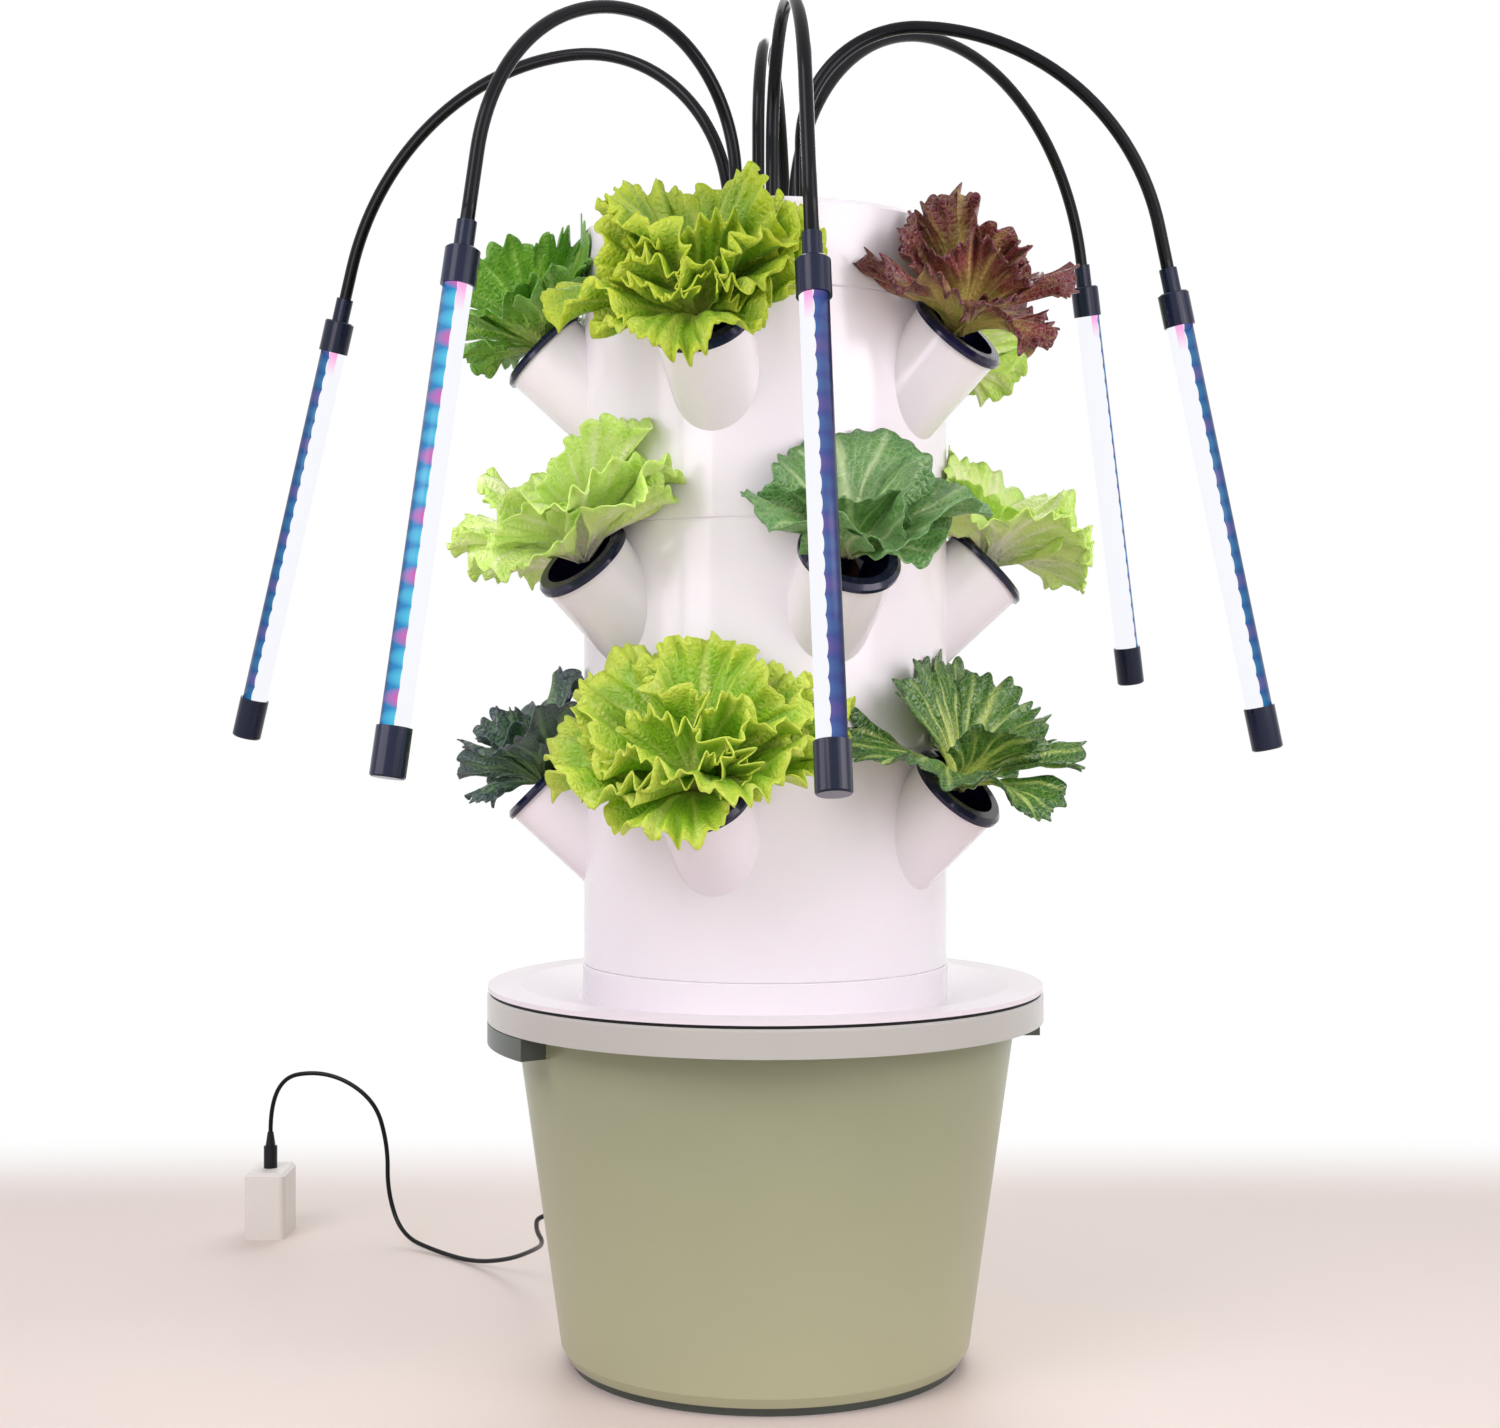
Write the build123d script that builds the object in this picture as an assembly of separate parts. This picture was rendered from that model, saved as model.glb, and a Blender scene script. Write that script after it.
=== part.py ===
from build123d import *

import os
from math import atan2, cos, degrees, pi, radians, sin, tan

# Tabletop hydroponic tower: a round tank with a pump, three stacked tiers of
# planting pods, and a cap that carries six gooseneck grow lamps.
# Millimetres, +Z up, origin at the middle of the tank's underside, front to -Y.
# An azimuth is counted in degrees from the front towards +X.

# Fits and cuts
CLEARANCE = 0.3
SLIP = 0.1
OVERRUN = 10.0

# Tank
TANK_WALL = 2.5
TANK_FLOOR = 3.0
FOOT_R = 101.0
FOOT_H = 4.0
HEEL_R = 107.0
HEEL_H = 6.0
TANK_TOP_R = 130.5
TANK_H = 182.0
FLANGE_W = 10.5
FLANGE_T = 3.5
LUG_H = 11.0
LUG_ARC = 32.0
LUG_AZIMUTHS = (-72.0, 108.0)

# Rim ring on the tank's flange
RING_OVERHANG = 4.3
RING_INSET = 0.5
RING_WALL = 2.5
RING_RISE = 11.0
RING_DROP = 3.0
RING_ROUND = 1.2

# Seal and lid
SEAL_T = 1.6
SEAL_INSET = 1.3
SEAL_W = 10.0
LID_INSET = 0.5
LID_T = 2.4
LID_MARGIN = 17.3
LID_DIP = 7.0
LID_SKIRT = 7.0
LID_HOLE_R = 78.0
LID_SEAT_MARGIN = 2.5

# Tower tiers, from the lowest up
TIERS = ("bottom", "middle", "top")
TOWER_R = 95.0
TOWER_WALL = 2.5
TIER_H = 113.2
SPIGOT_H = 8.0
SPIGOT_WALL = 2.2
SHOULDER_H = 3.0
SEAM_CHAMFER = 0.6
BASE_PROUD = 0.8
BASE_H = 17.5
BASE_FLANGE_T = 2.5
BASE_SPIGOT_H = 6.0
TAB_W = 14.0
TAB_L = 8.0
TAB_T = 2.5
TAB_GAP = 4.0

# Planting pods
PODS = 5
POD_TILT = 45.0
POD_MOUTH_R = 24.0
POD_TIP_R = 21.5
POD_L = 62.0
POD_WALL = 2.4
POD_CENTRE_R = 114.5
POD_DROP = 20.5
FIRST_POD_AZIMUTH = -16.0

# Net cups
CUP_LIP_R = 25.6
CUP_LIP_T = 4.2
CUP_MOUTH_R = 20.6
CUP_TIP_R = 15.5
CUP_L = 46.0
CUP_WALL = 1.6
CUP_FLOOR = 2.0
CUP_SIDES = 12
CUP_SLOTS = 6
CUP_SLOT_W = 6.0
CUP_SLOT_H = 26.0
CUP_SLOT_DROP = 11.0
CUP_DRAIN_R = 4.0

# Lettuce, one in each net cup
PLUG_R = 11.5
PLUG_SIDES = 8
PLUG_RISE = 2.0
OUTER_LEAVES = 5
OUTER_LEAF_L = 66.0
OUTER_LEAF_W = 54.0
OUTER_LEAF_TILT = 50.0
INNER_LEAVES = 3
INNER_LEAF_L = 50.0
INNER_LEAF_W = 40.0
INNER_LEAF_TILT = 20.0
LEAF_T = 3.0
LEAF_STALK_W = 9.0
LEAF_CURL_SHARE = 0.16
LEAF_WIDEST_SHARE = 0.62

# Drip plate at the head of the tower
PLATE_R = 89.0
PLATE_T = 2.0
PLATE_RIM_H = 6.0
PLATE_HOLES = 10
PLATE_HOLE_R = 2.2
PLATE_HOLE_INSET = 7.0
GUIDE_R = 11.0
GUIDE_H = 8.0

# Cap
CAP_H = 42.9
CAP_TOP_T = 3.0
CAP_ROUND = 2.5
SOCKET_CIRCLE_R = 20.0
SOCKET_BOSS_R = 8.0
SOCKET_BOSS_H = 15.0

# Pump and riser
PUMP_W = 42.0
PUMP_H = 38.0
PUMP_L = 34.0
PUMP_ROUND = 4.0
PUMP_COVER_T = 4.0
VOLUTE_R = 14.0
VOLUTE_L = 8.0
ROTOR_R = 6.5
ROTOR_L = 18.0
ROTOR_GAP = 0.5
IMPELLER_R = 12.0
IMPELLER_T = 1.6
VANES = 6
VANE_T = 1.4
VANE_H = 4.4
INLET_SLOTS = 5
INLET_SLOT_W = 3.0
INLET_SLOT_H = 20.0
INLET_PITCH = 6.0
OUTLET_R = 5.4
OUTLET_BORE_R = 3.8
OUTLET_H = 14.0
RISER_R = 7.0
RISER_PROUD = 2.0

# Gooseneck lamps
NECK_R = 3.4
NECK_SIDES = 8
NECK_L = 360.0
FERRULE_R = 4.8
FERRULE_L = 14.0
COLLAR_R = 6.4
COLLAR_T = 3.0
KNUCKLE_SETBACK = 1.7
LAMP_L = 246.0
LAMP_CAP_R = 8.2
LAMP_CAP_WALL = 3.0
LAMP_CAP_ROUND = 0.8
TOP_CAP_L = 18.0
FOOT_CAP_L = 23.0
SLEEVE_R = 4.7
SLEEVE_L = 13.0
TUBE_R = 6.9
SINK_WALL = 1.4
LENS_WALL = 1.0
BOARD_W = 9.0
BOARD_T = 1.2
BOARD_INSET = 6.0

# How each arm stands: socket azimuth, arm azimuth, lamp tilt and lamp twist in degrees
LAMP_ANGLES = (
    (-110.0, -112.8, 15.1, 22.0),
    (-50.0, -41.8, 10.4, -40.0),
    (10.0, 6.0, 16.0, 76.0),
    (130.0, 134.1, 11.1, 0.0),
    (70.0, 92.8, 11.9, 0.0),
    (190.0, 174.0, 10.0, 0.0),
)
# How each arm is bent, in shares of NECK_L: straight rise, radius of the rise,
# radius of the fall and straight fall
LAMP_BEND_SHARES = (
    (0.033, 0.262, 0.402, 0.084),
    (0.067, 0.202, 0.298, 0.130),
    (0.107, 0.165, 0.214, 0.258),
    (0.035, 0.323, 0.372, 0.044),
    (0.128, 0.171, 0.362, 0.099),
    (0.167, 0.172, 0.278, 0.175),
)

# Lead, its gland in the tank wall, its plug and the mains adapter
LEAD_R = 1.4
LEAD_SIDES = 8
GLAND_AZIMUTH = -119.0
GLAND_Z = 62.0
GLAND_HOLE_R = 4.0
GLAND_FLANGE_R = 6.5
GLAND_FLANGE_T = 2.0
GLAND_BOW = 0.5
GLAND_NOSE_R = 3.4
GLAND_TIP_R = 2.0
GLAND_NOSE_L = 10.0
GLAND_RUN = 18.0
PLUG_BODY_R = 4.3
PLUG_BODY_L = 14.0
PLUG_PIN_R = 3.2
PLUG_PIN_L = 8.0
PLUG_RELIEF_R = 3.2
PLUG_RELIEF_TIP_R = 1.9
PLUG_RELIEF_L = 9.0
ADAPTER_X = -317.0
ADAPTER_Y = 269.0
ADAPTER_W = 26.0
ADAPTER_D = 40.0
ADAPTER_H = 42.0
ADAPTER_ROUND = 4.0
ADAPTER_TOP_CHAMFER = 2.0
PRONG_W = 6.3
PRONG_T = 1.6
PRONG_L = 17.0
PRONG_SPACING = 12.7
PRONG_GAP = 0.4
# Points that the lead turns at after its straight run out of the gland
LEAD_ROUTE = (
    (-129.0, 86.5, 45.5),
    (-126.0, 107.0, 32.5),
    (-135.0, 133.0, 22.0),
    (-152.0, 160.0, 10.0),
    (-176.0, 187.0, 1.7),
    (-201.0, 212.0, 1.6),
    (-227.0, 235.0, 6.0),
    (-238.0, 246.0, 31.0),
    (-238.5, 251.0, 60.0),
    (-248.0, 256.0, 89.0),
    (-280.0, 263.0, 106.0),
    (ADAPTER_X, ADAPTER_Y, 99.0),
)

# Levels and radii worked out from the sizes above
FLANGE_R = TANK_TOP_R + FLANGE_W
RING_R = FLANGE_R + RING_OVERHANG
RING_INNER_R = TANK_TOP_R + RING_INSET
SEAL_R = RING_R - SEAL_INSET
SEAL_INNER_R = SEAL_R - SEAL_W
LID_R = RING_R - LID_INSET
LID_MARGIN_R = LID_R - LID_MARGIN
RING_TOP_Z = TANK_H + RING_RISE
LID_UNDER_Z = RING_TOP_Z + SEAL_T
LID_TOP_Z = LID_UNDER_Z + LID_T
SEAT_Z = LID_TOP_Z - LID_DIP
BASE_TOP_Z = SEAT_Z + BASE_H
CAP_Z = BASE_TOP_Z + len(TIERS) * TIER_H
CAP_TOP_Z = CAP_Z + CAP_H
TOWER_INNER_R = TOWER_R - TOWER_WALL
SPIGOT_R = TOWER_INNER_R - CLEARANCE
SPIGOT_INNER_R = SPIGOT_R - SPIGOT_WALL
BASE_R = TOWER_R + BASE_PROUD
PLATE_Z = CAP_Z - SPIGOT_H - TAB_GAP
LEVELS = (Align.CENTER, Align.CENTER, Align.MIN)
HANGING = (Align.CENTER, Align.CENTER, Align.MAX)


def spun(outline, arc=360.0):
    """A closed outline of (radius, height) points turned about Z."""
    face = make_face(Polyline(*outline, close=True))
    return revolve(Plane.XZ * face, axis=Axis.Z, revolution_arc=arc)


def ring(outer, inner, low, high):
    """A plain ring between two radii and two heights."""
    return spun(((inner, low), (outer, low), (outer, high), (inner, high)))


def at_azimuth(shape, azimuth):
    """A shape built along +X, turned to an azimuth counted from the front."""
    return Rot(0, 0, azimuth - 90) * shape


def tank_wall_r(height):
    """Outer radius of the tank's wall at a height."""
    low, high = FOOT_H + HEEL_H, TANK_H - FLANGE_T
    return HEEL_R + (TANK_TOP_R - HEEL_R) * (height - low) / (high - low)


def gland_frame():
    """Frame on the tank's wall at the lead's gland, with Z square to the wall."""
    rise = TANK_H - FLANGE_T - FOOT_H - HEEL_H
    lean = atan2(TANK_TOP_R - HEEL_R, rise)
    frame = Plane((tank_wall_r(GLAND_Z), 0, GLAND_Z), x_dir=(0, 1, 0), z_dir=(cos(lean), 0, -sin(lean)))
    return Location((0, 0, 0), (0, 0, GLAND_AZIMUTH - 90)) * frame.location


def reservoir_tank():
    """Tapered bucket with a recessed foot, a rim flange and two carrying lugs."""
    wall_low, wall_high = FOOT_H + HEEL_H, TANK_H - FLANGE_T
    shell = spun((
        (0, 0),
        (FOOT_R, 0),
        (FOOT_R, FOOT_H),
        (FOOT_R + TANK_WALL, FOOT_H),
        (HEEL_R, wall_low),
        (TANK_TOP_R, wall_high),
        (FLANGE_R, wall_high),
        (FLANGE_R, TANK_H),
        (TANK_TOP_R - TANK_WALL, TANK_H),
        (HEEL_R - TANK_WALL, wall_low),
        (FOOT_R - TANK_WALL, TANK_FLOOR),
        (0, TANK_FLOOR),
    ))
    lug_low = wall_high - LUG_H
    root = TANK_WALL / 2
    lug = spun((
        (tank_wall_r(lug_low) - root, lug_low),
        (RING_R, lug_low),
        (RING_R, wall_high),
        (tank_wall_r(wall_high) - root, wall_high),
    ), LUG_ARC)
    lugs = [at_azimuth(Rot(0, 0, -LUG_ARC / 2) * lug, azimuth) for azimuth in LUG_AZIMUTHS]
    hole = gland_frame() * Cylinder(GLAND_HOLE_R, 2 * OVERRUN)
    return shell + lugs - hole


def rim_ring():
    """Channel ring that stands on the flange and hangs over its edge."""
    outer = spun((
        (RING_R - RING_WALL, TANK_H - RING_DROP),
        (RING_R, TANK_H - RING_DROP),
        (RING_R, RING_TOP_Z - RING_ROUND),
        (RING_R - RING_ROUND, RING_TOP_Z),
        (RING_INNER_R, RING_TOP_Z),
        (RING_INNER_R, TANK_H),
        (RING_INNER_R + RING_WALL, TANK_H),
        (RING_INNER_R + RING_WALL, RING_TOP_Z - RING_WALL),
        (RING_R - RING_WALL, RING_TOP_Z - RING_WALL),
    ))
    return outer


def reservoir_lid():
    """Dished lid with a flat seat for the tower and a locating skirt."""
    seat_r = BASE_R + LID_SEAT_MARGIN
    plate = spun((
        (LID_HOLE_R, SEAT_Z - LID_T),
        (seat_r, SEAT_Z - LID_T),
        (LID_MARGIN_R, LID_UNDER_Z),
        (LID_R, LID_UNDER_Z),
        (LID_R, LID_TOP_Z),
        (LID_MARGIN_R, LID_TOP_Z),
        (seat_r, SEAT_Z),
        (LID_HOLE_R, SEAT_Z),
    ))
    skirt_r = RING_INNER_R - CLEARANCE
    skirt = ring(skirt_r, skirt_r - LID_T, LID_UNDER_Z - LID_SKIRT, LID_UNDER_Z + LID_T / 2)
    return plate + skirt


def tower_base():
    """Socket ring that stands on the lid and takes the lowest tier."""
    spigot_r = LID_HOLE_R - CLEARANCE
    return spun((
        (spigot_r - BASE_FLANGE_T, SEAT_Z - BASE_SPIGOT_H),
        (spigot_r, SEAT_Z - BASE_SPIGOT_H),
        (spigot_r, SEAT_Z),
        (BASE_R, SEAT_Z),
        (BASE_R, BASE_TOP_Z - SEAM_CHAMFER),
        (BASE_R - SEAM_CHAMFER, BASE_TOP_Z),
        (TOWER_INNER_R, BASE_TOP_Z),
        (TOWER_INNER_R, SEAT_Z + BASE_FLANGE_T),
        (spigot_r - BASE_FLANGE_T, SEAT_Z + BASE_FLANGE_T),
    ))


def pod_frame():
    """Frame at a pod's mouth: Z along the pod outwards, X down across the mouth."""
    tilt = radians(POD_TILT)
    place = (POD_CENTRE_R, 0, TIER_H - POD_DROP)
    return Plane(place, x_dir=(sin(tilt), 0, -cos(tilt)), z_dir=(cos(tilt), 0, sin(tilt))).location


def pod_r(depth):
    """Outer radius of a pod at a depth below its mouth."""
    return POD_MOUTH_R - (POD_MOUTH_R - POD_TIP_R) * depth / POD_L


def planter_tier():
    """One tier: a ring wall with a spigot below, and slanted pods around it."""
    wall = spun((
        (TOWER_R - SEAM_CHAMFER, 0),
        (TOWER_R, SEAM_CHAMFER),
        (TOWER_R, TIER_H - SEAM_CHAMFER),
        (TOWER_R - SEAM_CHAMFER, TIER_H),
        (TOWER_INNER_R, TIER_H),
        (TOWER_INNER_R, SHOULDER_H + SPIGOT_WALL),
        (SPIGOT_INNER_R, SHOULDER_H),
        (SPIGOT_INNER_R, -SPIGOT_H),
        (SPIGOT_R, -SPIGOT_H),
        (SPIGOT_R, 0),
    ))
    bore_l = POD_L + OVERRUN
    core = Cylinder(TOWER_INNER_R, TIER_H, align=LEVELS)
    outside = pod_frame() * Cone(pod_r(POD_L), pod_r(0), POD_L, align=HANGING) - core
    bore = Cone(pod_r(bore_l) - POD_WALL, pod_r(-OVERRUN) - POD_WALL, bore_l + OVERRUN, align=HANGING)
    bore = pod_frame() * Pos(0, 0, OVERRUN) * bore
    turns = [Rot(0, 0, index * 360 / PODS) for index in range(PODS)]
    return wall + [turn * outside for turn in turns] - [turn * bore for turn in turns]


def plate_tabs():
    """Small ledges between the pods that carry the drip plate."""
    depth = TAB_L + TOWER_WALL / 2
    tab = Box(depth, TAB_W, TAB_T, align=(Align.MAX, Align.CENTER, Align.MAX))
    tab = Pos(TOWER_INNER_R + TOWER_WALL / 2, 0, PLATE_Z - CAP_Z + TIER_H) * tab
    return [Rot(0, 0, (index + 1 / 2) * 360 / PODS) * tab for index in range(PODS)]


def cup_prism(mouth_r, tip_r, low):
    """Many-sided taper from a cup's mouth down to a level."""
    tip = Pos(0, 0, low) * RegularPolygon(tip_r, CUP_SIDES)
    return loft([RegularPolygon(mouth_r, CUP_SIDES), tip], ruled=True)


def net_cup():
    """Slotted basket with a rounded-off lip, in the frame of a pod's mouth."""
    inner = CUP_MOUTH_R - CUP_WALL
    lip = spun((
        (inner, 0),
        (CUP_LIP_R, 0),
        (CUP_LIP_R, CUP_LIP_T / 2),
        (CUP_LIP_R - CUP_LIP_T / 2, CUP_LIP_T),
        (inner, CUP_LIP_T),
    ))
    basket = cup_prism(CUP_MOUTH_R, CUP_TIP_R, -CUP_L)
    basket -= cup_prism(inner, CUP_TIP_R - CUP_WALL, CUP_FLOOR - CUP_L)
    slot = Box(CUP_MOUTH_R, CUP_SLOT_W, CUP_SLOT_H, align=(Align.MIN, Align.CENTER, Align.MAX))
    slot = Rot(0, 0, 180 / CUP_SIDES) * Pos(PLUG_R + CLEARANCE, 0, -CUP_SLOT_DROP) * slot
    slots = [Rot(0, 0, index * 360 / CUP_SLOTS) * slot for index in range(CUP_SLOTS)]
    drain = Pos(0, 0, -CUP_L) * extrude(RegularPolygon(CUP_DRAIN_R, CUP_SLOTS), amount=OVERRUN, both=True)
    return lip + (basket - slots - drain)


def leaf(length, width, tilt):
    """A blade bent over its middle, leaning out from +Z by tilt, widest towards its tip."""
    widest = LEAF_WIDEST_SHARE * length
    stalk, half = LEAF_STALK_W / 2, width / 2
    side = [(0, stalk), (widest / 2, stalk + half / 3), (widest, half), ((widest + length) / 2, half * 3 / 4)]
    outline = side + [(length, 0)] + [(x, -y) for x, y in reversed(side)]
    blank = extrude(make_face(Polyline(*outline, close=True)), amount=half, both=True)
    sag = LEAF_CURL_SHARE * length
    rib = [(-LEAF_T, -sag), (length / 2, 0), (length + LEAF_T, -sag)]
    profile = rib + [(x, z - LEAF_T) for x, z in reversed(rib)]
    blade = extrude(Plane.XZ * make_face(Polyline(*profile, close=True)), amount=width, both=True)
    return Rot(0, tilt - 90, 0) * Pos(0, 0, sag + LEAF_T / 2) * (blank & blade)


def lettuce():
    """Root plug and two whorls of leaves, in the frame of a pod's mouth."""
    low = CUP_FLOOR - CUP_L
    plant = Pos(0, 0, low) * extrude(RegularPolygon(PLUG_R, PLUG_SIDES), amount=PLUG_RISE - low)
    outer = leaf(OUTER_LEAF_L, OUTER_LEAF_W, OUTER_LEAF_TILT)
    inner = leaf(INNER_LEAF_L, INNER_LEAF_W, INNER_LEAF_TILT)
    outer_turn, inner_turn = 360 / OUTER_LEAVES, 360 / INNER_LEAVES
    blades = [Rot(0, 0, index * outer_turn) * outer for index in range(OUTER_LEAVES)]
    blades += [Rot(0, 0, (index + 1 / 2) * inner_turn) * inner for index in range(INNER_LEAVES)]
    return plant + blades


def tower_cap():
    """Closed head of the tower, with sockets for the lamp arms."""
    shell = spun((
        (0, CAP_H - CAP_TOP_T),
        (TOWER_INNER_R, CAP_H - CAP_TOP_T),
        (TOWER_INNER_R, SHOULDER_H + SPIGOT_WALL),
        (SPIGOT_INNER_R, SHOULDER_H),
        (SPIGOT_INNER_R, -SPIGOT_H),
        (SPIGOT_R, -SPIGOT_H),
        (SPIGOT_R, 0),
        (TOWER_R - SEAM_CHAMFER, 0),
        (TOWER_R, SEAM_CHAMFER),
        (TOWER_R, CAP_H - CAP_ROUND),
        (TOWER_R - CAP_ROUND, CAP_H),
        (0, CAP_H),
    ))
    boss = Cylinder(SOCKET_BOSS_R, SOCKET_BOSS_H, align=HANGING)
    boss = Pos(SOCKET_CIRCLE_R, 0, CAP_H - CAP_TOP_T / 2) * boss
    bore = Pos(SOCKET_CIRCLE_R, 0, CAP_H) * Cylinder(FERRULE_R + SLIP, 2 * (CAP_TOP_T + SOCKET_BOSS_H))
    azimuths = [angles[0] for angles in LAMP_ANGLES]
    bosses = [at_azimuth(boss, azimuth) for azimuth in azimuths]
    bores = [at_azimuth(bore, azimuth) for azimuth in azimuths]
    return Pos(0, 0, CAP_Z) * (shell + bosses - bores)


def drip_plate():
    """Dish with drip holes and a collar that guides the riser's open end."""
    dish = spun((
        (RISER_R + CLEARANCE, 0),
        (PLATE_R, 0),
        (PLATE_R, PLATE_RIM_H),
        (PLATE_R - PLATE_T, PLATE_RIM_H),
        (PLATE_R - PLATE_T, PLATE_T),
        (GUIDE_R, PLATE_T),
        (GUIDE_R, GUIDE_H),
        (RISER_R + CLEARANCE, GUIDE_H),
    ))
    hole = Pos(PLATE_R - PLATE_HOLE_INSET, 0, 0) * Cylinder(PLATE_HOLE_R, 2 * OVERRUN)
    holes = [Rot(0, 0, index * 360 / PLATE_HOLES) * hole for index in range(PLATE_HOLES)]
    return Pos(0, 0, PLATE_Z) * (dish - holes)


def pump_mid_z():
    """Height of the impeller's axis."""
    return TANK_FLOOR + PUMP_H / 2


def pump_body():
    """Motor block with a rotor well, a volute chamber and an upright outlet."""
    front = -VOLUTE_L / 2
    block = Box(PUMP_W, PUMP_L, PUMP_H, align=(Align.CENTER, Align.MIN, Align.MIN))
    block = fillet(block.edges().filter_by(Axis.Y), PUMP_ROUND)
    block = Pos(0, front, TANK_FLOOR) * block
    facing = Plane((0, front, pump_mid_z()), z_dir=(0, 1, 0)).location
    chamber = facing * Cylinder(VOLUTE_R, VOLUTE_L, align=LEVELS)
    well = facing * Cylinder(ROTOR_R + ROTOR_GAP, VOLUTE_L + ROTOR_L, align=LEVELS)
    top = TANK_FLOOR + PUMP_H
    outlet = Pos(0, 0, top) * Cylinder(OUTLET_R, OUTLET_H, align=LEVELS)
    bore_l = top + OUTLET_H - pump_mid_z()
    bore = Pos(0, 0, pump_mid_z()) * Cylinder(OUTLET_BORE_R, bore_l, align=LEVELS)
    return block + outlet - chamber - well - bore


def pump_cover():
    """Front plate of the pump with upright inlet slots."""
    plate = Box(PUMP_W, PUMP_COVER_T, PUMP_H, align=(Align.CENTER, Align.MAX, Align.MIN))
    plate = fillet(plate.edges().filter_by(Axis.Y), PUMP_ROUND)
    plate = Pos(0, -VOLUTE_L / 2, TANK_FLOOR) * plate
    slot = Box(INLET_SLOT_W, 2 * (PUMP_COVER_T + VOLUTE_L), INLET_SLOT_H)
    middle = (INLET_SLOTS - 1) / 2
    places = [(index - middle) * INLET_PITCH for index in range(INLET_SLOTS)]
    return plate - [Pos(x, 0, pump_mid_z()) * slot for x in places]


def pump_impeller():
    """Magnet rotor with a vaned disc that spins in the volute."""
    facing = Plane((0, -VOLUTE_L / 2, pump_mid_z()), z_dir=(0, 1, 0)).location
    disc_low = VOLUTE_L - IMPELLER_T - ROTOR_GAP
    rotor_l = ROTOR_L + VOLUTE_L - disc_low - ROTOR_GAP
    wheel = Pos(0, 0, disc_low) * Cylinder(IMPELLER_R, IMPELLER_T, align=LEVELS)
    wheel += Pos(0, 0, disc_low) * Cylinder(ROTOR_R, rotor_l, align=LEVELS)
    vane = Box(IMPELLER_R - VANE_T, VANE_T, VANE_H, align=(Align.MIN, Align.CENTER, Align.MIN))
    vane = Pos(0, 0, disc_low - VANE_H) * vane
    vanes = [Rot(0, 0, index * 360 / VANES) * vane for index in range(VANES)]
    return facing * (wheel + vanes)


def riser_tube():
    """Pipe from the pump's outlet up through the drip plate's guide."""
    low = TANK_FLOOR + PUMP_H
    high = PLATE_Z + GUIDE_H + RISER_PROUD
    return ring(RISER_R, OUTLET_R + SLIP, low, high)


def arm_frame(index):
    """Frame at an arm's socket on the cap, with X along the arm's plan."""
    socket, azimuth = LAMP_ANGLES[index][:2]
    x = SOCKET_CIRCLE_R * sin(radians(socket))
    y = -SOCKET_CIRCLE_R * cos(radians(socket))
    return Location((x, y, CAP_TOP_Z), (0, 0, azimuth - 90))


def bends(index):
    """An arm's straight rise, its two bend radii and its straight fall."""
    return [share * NECK_L for share in LAMP_BEND_SHARES[index]]


def neck_section():
    """Many-sided section of a gooseneck, with flats above and beside it."""
    return RegularPolygon(NECK_R, NECK_SIDES, rotation=180 / NECK_SIDES)


def knuckle(radius, width):
    """Round pin across an arm's plane."""
    return Rot(90, 0, 0) * Cylinder(radius, width)


def neck_lower(index):
    """Ferrule, collar and the rising half of a gooseneck, up to its crest."""
    rise, rise_r = bends(index)[:2]
    bend = ThreePointArc(
        (0, rise),
        (rise_r * (1 - cos(pi / 4)), rise + rise_r * sin(pi / 4)),
        (rise_r, rise + rise_r),
    )
    path = Plane.XZ * (Line((0, 0), (0, rise)) + bend)
    neck = sweep(neck_section(), path=path)
    neck += Pos(0, 0, COLLAR_T) * Cylinder(FERRULE_R, COLLAR_T + FERRULE_L, align=HANGING)
    neck += Cylinder(COLLAR_R, COLLAR_T, align=LEVELS)
    crest = Pos(rise_r, 0, rise + rise_r)
    seat = crest * knuckle(NECK_R + CLEARANCE, 2 * OVERRUN)
    room = crest * Pos(-KNUCKLE_SETBACK, 0, 0) * Box(
        OVERRUN, OVERRUN, OVERRUN, align=(Align.MIN, Align.CENTER, Align.CENTER))
    return arm_frame(index) * (neck - seat - room)


def neck_end(index):
    """Where a gooseneck's straight fall begins and ends in the arm's plane, and its direction there."""
    rise, rise_r, fall_r, run = bends(index)
    tilt = radians(LAMP_ANGLES[index][2])
    way = (sin(tilt), -cos(tilt))
    start = (rise_r + fall_r * cos(tilt), rise + rise_r - fall_r + fall_r * sin(tilt))
    return start, (start[0] + run * way[0], start[1] + run * way[1]), way


def neck_upper(index):
    """Falling half of a gooseneck, from a knuckle at its crest to its lamp."""
    rise, rise_r, fall_r, _ = bends(index)
    turn = radians(90 - LAMP_ANGLES[index][2])
    top = rise + rise_r
    start, end, _ = neck_end(index)
    middle = (rise_r + fall_r * sin(turn / 2), top - fall_r + fall_r * cos(turn / 2))
    path = Plane.XZ * (ThreePointArc((rise_r, top), middle, start) + Line(start, end))
    section = Plane((rise_r, 0, top), x_dir=(0, 1, 0), z_dir=(1, 0, 0)) * neck_section()
    flats = 2 * NECK_R * cos(pi / NECK_SIDES)
    neck = sweep(section, path=path) + Pos(rise_r, 0, top) * knuckle(flats / 2, flats)
    return arm_frame(index) * neck


def lamp_frame(index):
    """Frame at a lamp's top, with Z up along the lamp and X to the tower, then twisted about Z."""
    _, end, way = neck_end(index)
    frame = Plane((end[0], 0, end[1]), x_dir=(way[1], 0, -way[0]), z_dir=(-way[0], 0, -way[1]))
    return arm_frame(index) * frame.location * Location((0, 0, 0), (0, 0, LAMP_ANGLES[index][3]))


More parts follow.
